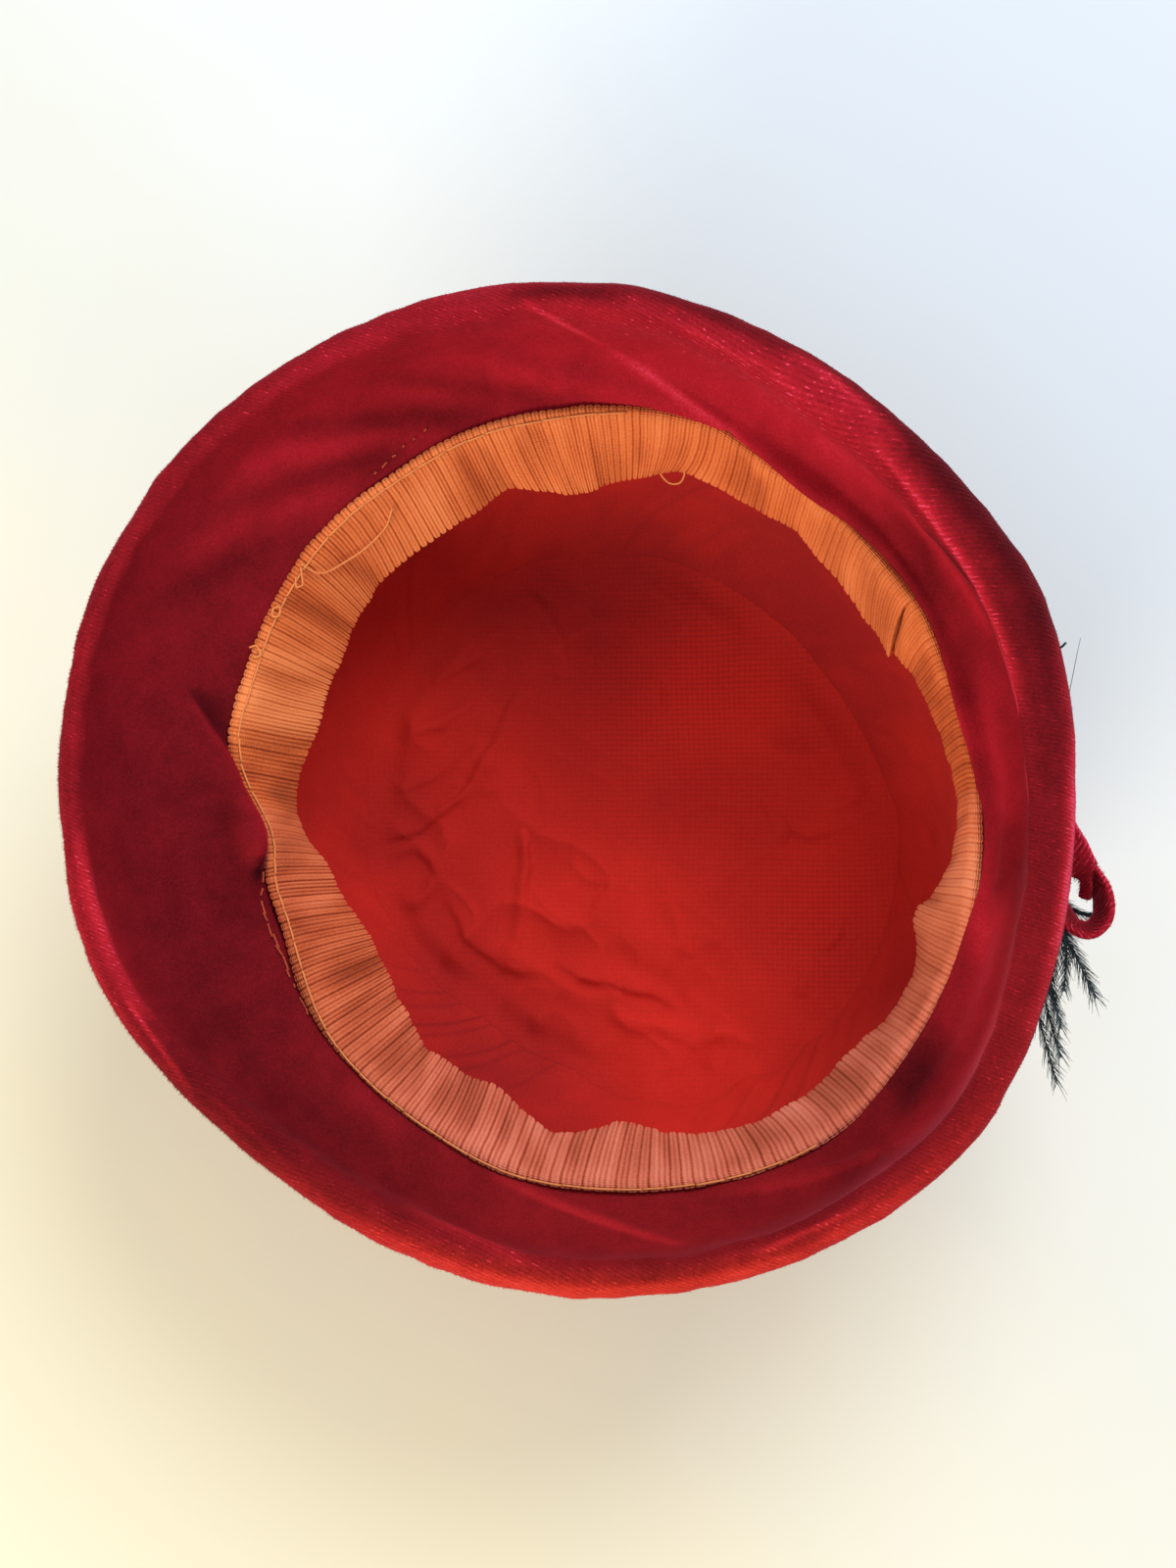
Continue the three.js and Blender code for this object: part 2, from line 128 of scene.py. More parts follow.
# How light the velvet is, every 20 degrees of azimuth: beside the band, on the facing,
# on the inner side of the roll, on its crest and outside it. Partly brushed pile, partly painted light
# and shade: light on the roll at the front, where the warm lamp falls, dark outside it at the back right.
NAP_AND_LIGHT_SECTIONS = table(
    "opening facing roll crest outside",
    (0.5, 0.52, 0.44, 0.32, 0.24), (0.5, 0.53, 0.46, 0.26, 0.08), (0.48, 0.56, 0.56, 0.46, 0.14),
    (0.68, 0.78, 0.72, 0.62, 0.3), (0.62, 0.7, 0.66, 0.56, 0.3), (0.5, 0.6, 0.58, 0.56, 0.6),
    (0.44, 0.55, 0.55, 0.5, 0.5), (0.42, 0.5, 0.5, 0.5, 0.52), (0.33, 0.37, 0.46, 0.5, 0.52),
    (0.28, 0.33, 0.42, 0.5, 0.55), (0.32, 0.28, 0.42, 0.48, 0.68), (0.38, 0.25, 0.32, 0.24, 0.38),
    (0.38, 0.29, 0.34, 0.4, 0.66), (0.42, 0.42, 0.44, 0.56, 0.9), (0.42, 0.46, 0.42, 0.5, 0.86),
    (0.38, 0.36, 0.38, 0.5, 0.8), (0.36, 0.38, 0.42, 0.44, 0.6), (0.46, 0.52, 0.48, 0.36, 0.32),
)
NAP_AND_LIGHT_PLACES = {"opening": 0.1, "facing": 0.6, "roll": 1.15, "crest": 1.42, "outside": 1.62}

# Strokes of lighter or darker velvet along smooth paths: painted highlights along the roll's ridges
# and its rim, painted shade in its grooves, and streaks of brushed pile. place: 0 opening, 1 start of
# the roll, 2 its outer side. left and right: how far each fades to its sides, in mm.
NAP_AND_LIGHT_STROKES = table(
    "azimuths places tone left right",
    ((-6, 10, 26), (0.9, 0.9, 0.95), 0.5, 2.6, 2.4),
    ((-14, 10, 36), (1.08, 1.06, 1.12), -0.5, 2.2, 2.6),
    ((8, 26, 50), (1.22, 1.26, 1.38), 0.52, 1.7, 1),
    ((49, 57, 66), (1.52, 1.58, 1.56), 0.26, 1.6, 1.4),
    ((-6, 6, 18), (0.3, 0.26, 0.34), 0.18, 4, 3),
    ((46, 55, 64), (1.46, 1.5, 1.46), 0.1, 1.6, 1.6),
    ((5, 18, 34), (0.05, 0.12, 0.42), 0.2, 3, 2),
    ((12, 28, 42), (0.14, 0.3, 0.52), -0.22, 2, 5),
    ((24, 30, 38), (0.95, 0.98, 1.05), -0.2, 2.5, 2.5),
    ((36, 46, 58), (0.55, 0.62, 0.55), 0.1, 6, 5),
    ((52, 60, 68), (1.26, 1.3, 1.34), 0.1, 1.6, 1.2),
    ((66, 72, 80), (1.3, 1.24, 1.32), 0.16, 1.6, 1.2),
    ((44, 54, 64), (1.54, 1.6, 1.62), 0.34, 1.6, 1.2),
    ((20, 30, 42), (0.56, 0.58, 0.62), 0.2, 2, 2),
    ((0, 12, 22), (0.7, 0.72, 0.76), -0.14, 1.6, 1.6),
    ((84, 91, 99), (1.4, 1.46, 1.42), -0.3, 3, 3),
    ((64, 77, 88), (0.05, 0.24, 0.6), 0.24, 0.8, 1.6),
    ((88, 93, 97), (0.6, 0.95, 1.4), 0.28, 0.8, 1.2),
    ((72, 92, 112), (0.15, 0.22, 0.8), 0.12, 2, 5),
    ((92, 104, 120), (0.08, 0.22, 0.75), -0.1, 2, 3),
    ((98, 108, 122), (0.1, 0.25, 0.75), 0.12, 2, 3),
    ((104, 116, 130), (0.06, 0.28, 0.72), -0.14, 2, 3),
    ((112, 123, 138), (0.05, 0.32, 0.78), 0.14, 2, 3),
    ((119, 131, 147), (0.05, 0.33, 0.75), -0.14, 2, 3),
    ((127, 138, 152), (0.05, 0.33, 0.75), 0.1, 3, 3),
    ((136, 146, 160), (0.05, 0.35, 0.75), -0.12, 3, 4),
    ((165, 169, 173), (0.32, 0.19, 0.05), -0.24, 0.4, 3.2),
    ((167, 170, 174), (0.28, 0.16, 0.05), 0.2, 1, 0.4),
    ((173, 181, 190), (0.06, 0.03, 0.08), 0.28, 1.2, 1),
    ((180, 185, 190), (0.09, 0.07, 0.09), 0.24, 0.8, 0.8),
    ((184, 188, 192), (0.12, 0.14, 0.09), 0.16, 0.8, 0.8),
    ((190, 192, 194), (0.06, 0.08, 0.07), -0.3, 0.9, 1),
    ((184, 195, 208), (1.26, 1.12, 1.18), 0.38, 6, 3),
    ((204, 210, 217), (1.32, 1.38, 1.52), 0.42, 1.4, 1),
    ((217, 225, 237), (1.44, 1.38, 1.5), 0.14, 1.4, 1),
    ((228, 235, 243), (0.1, 0.16, 0.12), 0.1, 3, 4),
    ((246, 255, 264), (0.98, 1.06, 1.3), 0.24, 3, 3),
    ((254, 268, 282), (0.14, 0.34, 0.74), 0.26, 0.7, 2),
    ((284, 298, 311), (0.12, 0.32, 0.62), 0.16, 1, 2.6),
    ((290, 297, 304), (1.4, 1.34, 1.42), 0.28, 1.4, 1.2),
    ((314, 320, 326), (0.18, 0.24, 0.3), -0.24, 5, 5),
    ((320, 333, 346), (0.34, 0.38, 0.32), 0.28, 5, 5),
    ((310, 324, 338), (0.62, 0.8, 1.02), 0.26, 6, 6),
    ((335, 344, 355), (0.26, 0.12, 0.06), 0.2, 3, 3),
    ((343, 350, 358), (0.45, 0.7, 0.9), -0.16, 8, 8),
    ((320, 352, 388), (1.77, 1.78, 1.8), 0.24, 2.5, 4),
    ((330, 352, 378), (1.76, 1.78, 1.8), 0.28, 2.5, 4),
    ((340, 352, 366), (1.76, 1.78, 1.8), 0.28, 2.5, 4),
)
PLACE_LENGTH = 25  # mm of cloth to one unit of place, near enough for the strokes

# Folds of the velvet past the facing, on the same coordinates as the strokes.
ROLL_FOLDS = table(
    "azimuths places rise left right",
    ((-6, 10, 26), (0.86, 0.8, 0.9), 1, 2.6, 2.2),
    ((-14, 10, 36), (1.08, 1.05, 1.12), -1.3, 1.8, 2),
    ((-4, 20, 48), (1.24, 1.26, 1.42), 0.9, 1.8, 1.4),
    ((52, 70, 90), (1.3, 1.26, 1.34), 0.6, 1.6, 1.4),
    ((246, 255, 264), (1, 1.06, 1.3), 0.8, 2.5, 2.5),
    ((184, 195, 208), (1.26, 1.14, 1.2), 0.8, 3, 3),
)

# Band: puckers push its lower edge inwards (mm), and slants turn its ribs there (degrees).
BAND_PUCKERS = table(
    "azimuth spread push",
    (338.5, 5, 3.2), (330, 4, -1.4), (272, 3.4, 2.4), (260, 5, -2.4), (250, 4, 1.6), (350, 6, -1.2),
    (0, 8, -2.6), (12, 6, -0.8), (30, 4, 0.6), (72, 6, -2.2), (92, 6, 1.6), (150, 7, 0.8),
    (169, 6, 1.4), (184, 6, -1.4), (204, 7, 1.4), (218, 6, 1), (54, 5, -1.8), (186, 5, -2.6), (76, 4, -0.6),
    (98, 4.5, 1.8), (108, 3.5, -2.6), (234, 4, -1.6), (262, 4, -1.3), (277, 3, 1.2), (309, 6, 1.2),
    (324, 4, -1.8), (34, 20, -0.8), (214, 6, 0.8),
)
# Where the band's sewn edge strays outwards (mm).
BAND_STRAYS = table(
    "azimuth spread outset",
    (50, 12, -0.2), (30, 8, 0.9), (72, 6, 1.8), (82, 11, 1.6), (171, 7, 1.6),
    (122, 10, -1.4), (200, 7, -2), (257, 11, 1.2), (280, 22, 0.8), (303, 14, 0.8), (338, 8, 0.9),
    (350, 24, 1.2),
)
BAND_SLANTS = table(
    "azimuth spread slant",
    (34, 9, -3.5), (75, 8, 2.5), (100, 8, -2), (132, 9, 2), (165, 8, -1.5),
    (205, 10, 1.5), (245, 10, -1.5), (272, 6, 1.5), (300, 12, -1.5), (335, 8, 1.5),
)
# Painted light and shade along the band: darker at the far right and at the front left, lighter at the back
# left.
BAND_LIGHT_AND_SHADE = table(
    "azimuth spread tone",
    (110, 30, 0.14), (44, 14, 0.08), (8, 11, -0.3), (145, 9, -0.16), (163, 7, 0.3),
    (176, 6, -0.22), (207, 18, -0.26), (262, 40, -0.06), (348, 9, 0.26),
)
RIBS_PER_DEGREE = 1.46
RIBS_GATHERED, RIBS_GATHERED_AZIMUTH = 0.14, 100  # how much closer the ribs lie at the back
RIB_SAMPLES = 6
RIB_COUNT_STEPS = 4000  # steps on which the ribs are counted
RIB_DEPTH = 0.3
SCALLOP_DEPTH = 1.1
BAND_START = 36
BAND_OVERLAP = 5

# Creases of the lining tip: smooth paths of three plan places (mm from the tip's centre).
TIP_CREASES = table(
    "path rise left right",
    (((-43, -17), (-36, -33), (-17, -39)), 1.2, 3.8, 1.8),
    (((-30, -30), (-16, -42), (2, -46)), 1, 1.4, 3.4),
    (((-27, -3), (-24, -14), (-26, -36)), 1.7, 1.1, 2.4),
    (((-48, 36), (-39, 42), (-31, 51)), 1.3, 3, 1.3),
    (((-54, 22), (-45, 26), (-36, 31)), 1.2, 2.6, 1.2),
    (((-60, 10), (-50, 12), (-36, 22)), 1, 2.6, 1.4),
    (((-62, -12), (-52, -8), (-44, -16)), 1, 2.2, 1.4),
    (((-17, -37), (2, -43), (15, -48)), 1.3, 3.6, 1.1),
    (((-2, -48), (8, -52), (20, -52)), 1.1, 1.2, 2.6),
    (((-77, -5), (-55, -3), (-40, 10)), 1.6, 3.4, 1.2),
    (((-48, 2), (-34, 16), (-26, 36)), 1.5, 1.2, 3.6),
    (((-58, 14), (-46, 26), (-30, 24)), 1, 3.2, 3),
    (((-34, 74), (-26, 66), (-19, 58)), -1.2, 1, 1.2),
    (((-24, 60), (-16, 48), (-14, 36)), 1, 1.2, 3),
    (((-18, 42), (-8, 50), (4, 52)), 0.9, 3, 1.2),
    (((11, 37), (13, 32), (12, 27)), -0.9, 0.9, 1.2),
    (((14, -20), (17, -28), (20, -36)), 0.9, 1, 2.4),
    (((40, 5), (48, -6), (64, -2)), -1.5, 1.4, 3.6),
    (((36, 8), (40, -2), (44, -6)), 1, 2.6, 1.2),
    (((55, 1), (62, 8), (68, 14)), 1.1, 2.6, 1.2),
    (((38, 22), (46, 16), (58, 20)), 0.8, 2.8, 1.6),
    (((55, -22), (56, -28), (52, -34)), 1.1, 1.2, 2.4),
    (((48, -37), (47, -42), (46, -45)), 1, 1.2, 2),
    (((18, -58), (26, -54), (34, -58)), 1, 1, 2.2),
    (((26, -66), (24, -58), (28, -50)), 0.9, 1.2, 2),
    (((-6, -20), (6, -30), (22, -40)), 1.2, 9, 7),
)
# Painted light and shade on the lining, in plan (mm from the tip's centre): lighter towards the front centre,
# darker at the back and at the front left edge.
LINING_LIGHT_AND_SHADE = table(
    "x y spread tone",
    (2, -34, 34, 0.17), (26, -56, 20, 0.2), (-20, -10, 26, 0.1), (30, 30, 24, 0.18), (64, -14, 20, 0.16),
    (-50, 28, 24, 0.08), (0, 62, 34, -0.19), (0, 84, 20, 0.1), (46, 50, 22, -0.06), (-46, -62, 26, -0.24),
    (-12, -78, 20, -0.12), (-62, 2, 14, -0.12),
)
LINING_BASE_TONE = 0.54
# Where the lining's tip is pulled in from the wall, and where its edge puckers (mm).
TIP_PULLS = table(
    "azimuth spread pull",
    (238, 26, 8.5), (259, 9, 3.5), (276, 3.5, 2.2), (296, 4, 2.4), (310, 3, 1.2), (205, 5, 1.2),
    (170, 40, 5), (90, 50, 5), (30, 30, 4),
)
TIP_CENTRE_HEIGHT, TIP_EDGE_HEIGHT = 7, 12.28
TIP_OVERLAP = 2.6  # how far the side strip's foot runs on under the tip's edge
SIDE_FOOT_HEIGHT = 12.2
SIDE_FOOT_DROP = 1.8  # how far the strip slopes down under the tip
SIDE_UNDER_TIP = 0.05  # the share of the side strip that lies under the tip
BOWL_SHARE = 0.6  # the share of the side strip's height over which it leans in to the tip


# ---- small maths
def smooth(t):
    t = np.clip(t, 0, 1)
    return t * t * (3 - 2 * t)


def ramp(x, low, high):
    return smooth((x - low) / (high - low))


def bell(distance, spread):
    return np.exp(-((distance / spread) ** 2))


def unit(vectors):
    """Vectors drawn to length one."""
    return vectors / np.maximum(np.linalg.norm(vectors, axis=-1, keepdims=True), SMALLEST)


def turn_between(start, end):
    """Signed difference of two azimuths, from -180 to 180 degrees."""
    return np.mod(end - start + 180, 360) - 180


def bells_round(rows, column, azimuth):
    """The sum of one column of a table, each row a bell of its spread round its azimuth."""
    return sum(row[column] * bell(turn_between(row["azimuth"], azimuth), row["spread"]) for row in rows)


def stations(count):
    """Even azimuths round the hat."""
    return np.arange(count) * 360 / count


def heading(degrees):
    angle = np.radians(degrees)
    return np.stack([np.cos(angle), np.sin(angle)], -1)


def bumps(u, v, seed, repeat=64):
    """Smooth random field from -1 to 1, one bump to each unit of u and v; u repeats."""
    lattice = np.random.default_rng(seed).uniform(-1, 1, (repeat, 64))
    i, j = np.floor(u).astype(int), np.floor(v).astype(int)
    s, t = smooth(u - i), smooth(v - j)
    low = lattice[i % repeat, j % 64] * (1 - s) + lattice[(i + 1) % repeat, j % 64] * s
    high = lattice[i % repeat, (j + 1) % 64] * (1 - s) + lattice[(i + 1) % repeat, (j + 1) % 64] * s
    return low * (1 - t) + high * t


def bumps_round(azimuth, count, v, seed):
    """The same field closed round the hat, with count bumps to the circle."""
    return bumps(azimuth / 360 * count, v, seed, count)


def spline(a, b, c, d, t):
    """The smooth curve from b to c that comes from a and goes on to d."""
    return b + 0.5 * t * (c - a + t * (2 * a - 5 * b + 4 * c - d + t * (3 * (b - c) + d - a)))


def bezier(start, start_heading, end, end_heading, t, pull=0.38):
    """Cubic curve between two points with given headings, at each t."""
    reach = pull * np.linalg.norm(end - start, axis=-1, keepdims=True)
    leave, arrive = start + start_heading * reach, end - end_heading * reach
    a, b, c, d = (1 - t) ** 3, 3 * t * (1 - t) ** 2, 3 * t * t * (1 - t), t**3
    return sum(w[:, None] * p[..., None, :] for w, p in ((a, start), (b, leave), (c, arrive), (d, end)))


def curve_value(x, places, values):
    """A smooth curve through values at rising places, read at x."""
    places, values = np.array(places, float), np.array(values, float)
    slopes = np.gradient(values, places)
    x = np.clip(x, places[0], places[-1])
    k = np.clip(np.searchsorted(places, x, "right") - 1, 0, len(places) - 2)
    span = places[k + 1] - places[k]
    t = (x - places[k]) / span
    start, end = values[k], values[k + 1]
    leave, arrive = slopes[k] * span, slopes[k + 1] * span
    bend, twist = 3 * (end - start) - 2 * leave - arrive, 2 * (start - end) + leave + arrive
    return start + t * (leave + t * (bend + t * twist))


def three_point_path(places, steps=CURVE_STEPS):
    """Smooth path through three places."""
    a, b, c = (np.array(p, float) for p in places)
    middle = 2 * b - (a + c) / 2
    t = np.linspace(0, 1, steps + 1)[:, None]
    return (1 - t) ** 2 * a + 2 * t * (1 - t) * middle + t * t * c


def distance_to_path(x, y, path):
    """Signed distance of points to a path, left of it positive, and the share of it reached."""
    best = np.full(x.shape, np.inf)
    side = np.ones(x.shape)
    share = np.zeros(x.shape)
    count = len(path) - 1
    for k in range(count):
        (ax, ay), (bx, by) = path[k], path[k + 1]
        dx, dy = bx - ax, by - ay
        t = np.clip(((x - ax) * dx + (y - ay) * dy) / (dx * dx + dy * dy), 0, 1)
        away = np.hypot(x - ax - t * dx, y - ay - t * dy)
        nearer = away < best
        best = np.where(nearer, away, best)
        side = np.where(nearer, np.sign(dx * (y - ay) - dy * (x - ax)), side)
        share = np.where(nearer, (k + t) / count, share)
    return best * side, share


def fold_height(x, y, path, rise, left, right):
    """A fold along a path, dying out at its ends and to both sides."""
    away, share = distance_to_path(x, y, path)
    ends = np.sqrt(np.clip(4 * share * (1 - share), 0, 1))
    return rise * ends * np.where(away > 0, bell(away, left), bell(away, right))


# ---- the hat's shape
def around_value(rows, column, azimuth):
    """One column of a table whose rows go evenly round the hat, on a smooth closed curve."""
    values = np.array([row[column] for row in rows], float)
    place = np.mod(azimuth, 360) * len(values) / 360
    row = np.floor(place).astype(int)
    return spline(*(values[(row + k) % len(values)] for k in (-1, 0, 1, 2)), place - row)


def rim_value(column, azimuth):
    return around_value(RIM_SECTIONS, column, azimuth)


def oval_radius(azimuth):
    spoke = heading(azimuth - OPENING_AZIMUTH)
    return 1 / np.hypot(spoke[..., 0] / OPENING_LONG, spoke[..., 1] / OPENING_SHORT)


def opening_radius(azimuth, height=CROWN_DEPTH):
    dents = bells_round(OPENING_DENTS, "depth", azimuth)
    return oval_radius(azimuth) - dents * ramp(height, DENT_FOOT, CROWN_DEPTH)


def placed(azimuth, radius, height):
    """Points of the hat: the axis leans from the tip's centre to the opening's centre."""
    azimuth, radius, height = np.broadcast_arrays(azimuth, radius, height)
    lean = np.clip(height / CROWN_DEPTH, None, 1)
    spoke = heading(azimuth) * radius[..., None]
    x = spoke[..., 0] + OPENING_OFFSET[0] * lean
    y = spoke[..., 1] + OPENING_OFFSET[1] * lean
    return np.stack([x, y, height], -1)


def crown_radius(azimuth, height):
    share = curve_value(height, *([row[key] for row in CROWN_SECTIONS] for key in ("height", "share")))
    return opening_radius(azimuth, height) * share + SEAM_OUTSET * height / CROWN_DEPTH


def roll_point(azimuth, degrees):
    radius = rim_value("roll", azimuth)
    edge = oval_radius(azimuth) + rim_value("reach", azimuth)
    centre = np.stack([edge - radius, rim_value("height", azimuth) - radius], -1)
    return centre + heading(degrees) * radius[..., None]


def facing_end(azimuth):
    return 180 + rim_value("tuck_in", azimuth)


def brim_facing(azimuth, t):
    start_height = CROWN_DEPTH + GAP + BRIM_WALL
    inner = opening_radius(azimuth) - SEAM_ALLOWANCE
    start = np.stack([inner, np.full_like(inner, start_height)], -1)
    slope = np.broadcast_to(heading(BRIM_SLOPE), start.shape)
    end = facing_end(azimuth)
    return bezier(start, slope, roll_point(azimuth, end), heading(end - 90), t)


# ---- meshes
def grid_faces(rows, columns, close_rows=False, close_columns=False):
    """Quads of a grid, and for each corner its row and column counted past the closing line."""
    i, j = np.meshgrid(
        np.arange(rows if close_rows else rows - 1),
        np.arange(columns if close_columns else columns - 1),
        indexing="ij",
    )
    corner_rows = np.stack([i, i + 1, i + 1, i], -1).reshape(-1, 4)
    corner_columns = np.stack([j, j, j + 1, j + 1], -1).reshape(-1, 4)
    return (corner_rows % rows) * columns + corner_columns % columns, corner_rows, corner_columns


def halved(quads):
    """Each four-cornered face as two triangles: all the first halves, then all the second."""
    return np.concatenate([quads[:, [0, 1, 2]], quads[:, [0, 2, 3]]])


def cap_faces(rows, columns, column, centre):
    """Triangles that close a grid's ring of points in one column round a centre point."""
    i = np.arange(rows)
    return np.stack([np.full(rows, centre), i * columns + column, (i + 1) % rows * columns + column], -1)


def make_mesh(name, points, faces, uv=None, values=None):
    """A smooth mesh object from points in mm and faces all of one size.
    uv: one pair in mm for each corner; values: named numbers for each point."""
    faces = np.asarray(faces)
    mesh = bpy.data.meshes.new(name)
    mesh.vertices.add(len(points))
    mesh.vertices.foreach_set("co", (np.asarray(points) * MM).astype(np.float32).ravel())
    mesh.loops.add(faces.size)
    mesh.loops.foreach_set("vertex_index", faces.astype(np.int32).ravel())
    mesh.polygons.add(len(faces))
    mesh.polygons.foreach_set("loop_start", np.arange(0, faces.size, faces.shape[1], dtype=np.int32))
    mesh.update(calc_edges=True)
    mesh.shade_smooth()
    if uv is not None:
        layer = mesh.uv_layers.new(name="cloth")
        layer.uv.foreach_set("vector", np.asarray(uv, np.float32).ravel())
    for key, numbers in (values or {}).items():
        attribute = mesh.attributes.new(key, "FLOAT", "POINT")
        numbers = np.broadcast_to(np.ravel(numbers), len(points))
        attribute.data.foreach_set("value", numbers.astype(np.float32))
    made = bpy.data.objects.new(name, mesh)
    bpy.context.scene.collection.objects.link(made)
    return made


def grid_mesh(name, points, closed, cloth, values):
    """A mesh from a grid of points, whose rows and columns close or not.
    cloth: gives the flat places in mm for the rows and columns of the corners."""
    faces, corner_rows, corner_columns = grid_faces(*points.shape[:2], *closed)
    uv = cloth(corner_rows, corner_columns).reshape(-1, 4, 2)
    return make_mesh(name, points.reshape(-1, 3), faces[:, ::-1], uv[:, ::-1], values)


def close_ends(made):
    """Caps the open ends of a ribbon or ball."""
    shell = bmesh.new()
    shell.from_mesh(made.data)
    rim = [edge for edge in shell.edges if edge.is_boundary]
    bmesh.ops.holes_fill(shell, edges=rim, sides=0)
    shell.to_mesh(made.data)
    shell.free()


def dress(made, material, slot, *nodes):
    """Gives a piece its material and its body, and hides the model's plain nodes."""
    made.data.materials.append(material)
    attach(made, "root")
    if nodes:
        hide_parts(*nodes)
    return made


def grid_normals(points):
    """Unit normals of a grid of points: rows closed round the hat, columns along the section."""
    around = np.roll(points, -1, 0) - np.roll(points, 1, 0)
    return unit(np.cross(around, np.gradient(points, axis=1)))


def sample_grid(grid, rows, columns):
    """Points of a grid, closed round its rows, at fractional rows and columns."""
    i, j = np.floor(rows).astype(int), np.floor(columns).astype(int)
    s, t = (rows - i)[:, None], (columns - j)[:, None]
    j2 = np.minimum(j + 1, grid.shape[1] - 1)
    near, far = (grid[k % len(grid), j] * (1 - t) + grid[k % len(grid), j2] * t for k in (i, i + 1))
    return near * (1 - s) + far * s


def tufts(name, roots, directions, lengths, widths, values):
    """Many short hairs of pile, each a slim closed spike, as one mesh."""
    directions = directions / np.linalg.norm(directions, axis=1, keepdims=True)
    helper = np.where(np.abs(directions[:, 2:]) < NEARLY_UPRIGHT, [[0, 0, 1.0]], [[1.0, 0, 0]])
    side = unit(np.cross(directions, helper))
    other = np.cross(directions, side)
    points = np.empty((len(roots), 4, 3))
    for k in range(3):
        angle = 2 * math.pi * k / 3
        points[:, k] = roots + (side * math.cos(angle) + other * math.sin(angle)) * widths[:, None] / 2
    points[:, 3] = roots + directions * lengths[:, None]
    first = np.arange(len(roots))[:, None] * 4
    faces = np.concatenate([first + face for face in ([0, 2, 1], [0, 1, 3], [1, 2, 3], [2, 0, 3])])
    repeated = {key: np.repeat(numbers, 4) for key, numbers in values.items()}
    return make_mesh(name, points.reshape(-1, 3), faces, values=repeated)


class Tubes:
    """Collects round tubes that become one mesh."""

    def __init__(self):
        self.points, self.faces, self.count = [], [], 0

    def add(self, route, radii, sides=6):
        route = np.asarray(route, float)
        radii = np.broadcast_to(radii, len(route))
        along = unit(np.gradient(route, axis=0))
        helper = [0, 0, 1.0] if abs(along[:, 2]).max() < NEARLY_UPRIGHT else [1.0, 0.3, 0]
        side = unit(np.cross(along, helper))
        other = np.cross(side, along)
        angles = 2 * math.pi * np.arange(sides) / sides
        ring = side[:, None] * np.cos(angles)[:, None] + other[:, None] * np.sin(angles)[:, None]
        shell = route[:, None] + ring * radii[:, None, None]
        self.points += [shell.reshape(-1, 3), route[:1], route[-1:]]
        quads, _, _ = grid_faces(len(route), sides, close_columns=True)
        k, last, centre = np.arange(sides), (len(route) - 1) * sides, len(route) * sides
        start_cap = np.stack([np.full(sides, centre), k, (k + 1) % sides], -1)
        end_cap = np.stack([np.full(sides, centre + 1), last + (k + 1) % sides, last + k], -1)
        self.faces.append(np.concatenate([halved(quads), start_cap, end_cap]) + self.count)
        self.count += centre + 2

    def mesh(self, name):
        return make_mesh(name, np.concatenate(self.points), np.concatenate(self.faces))


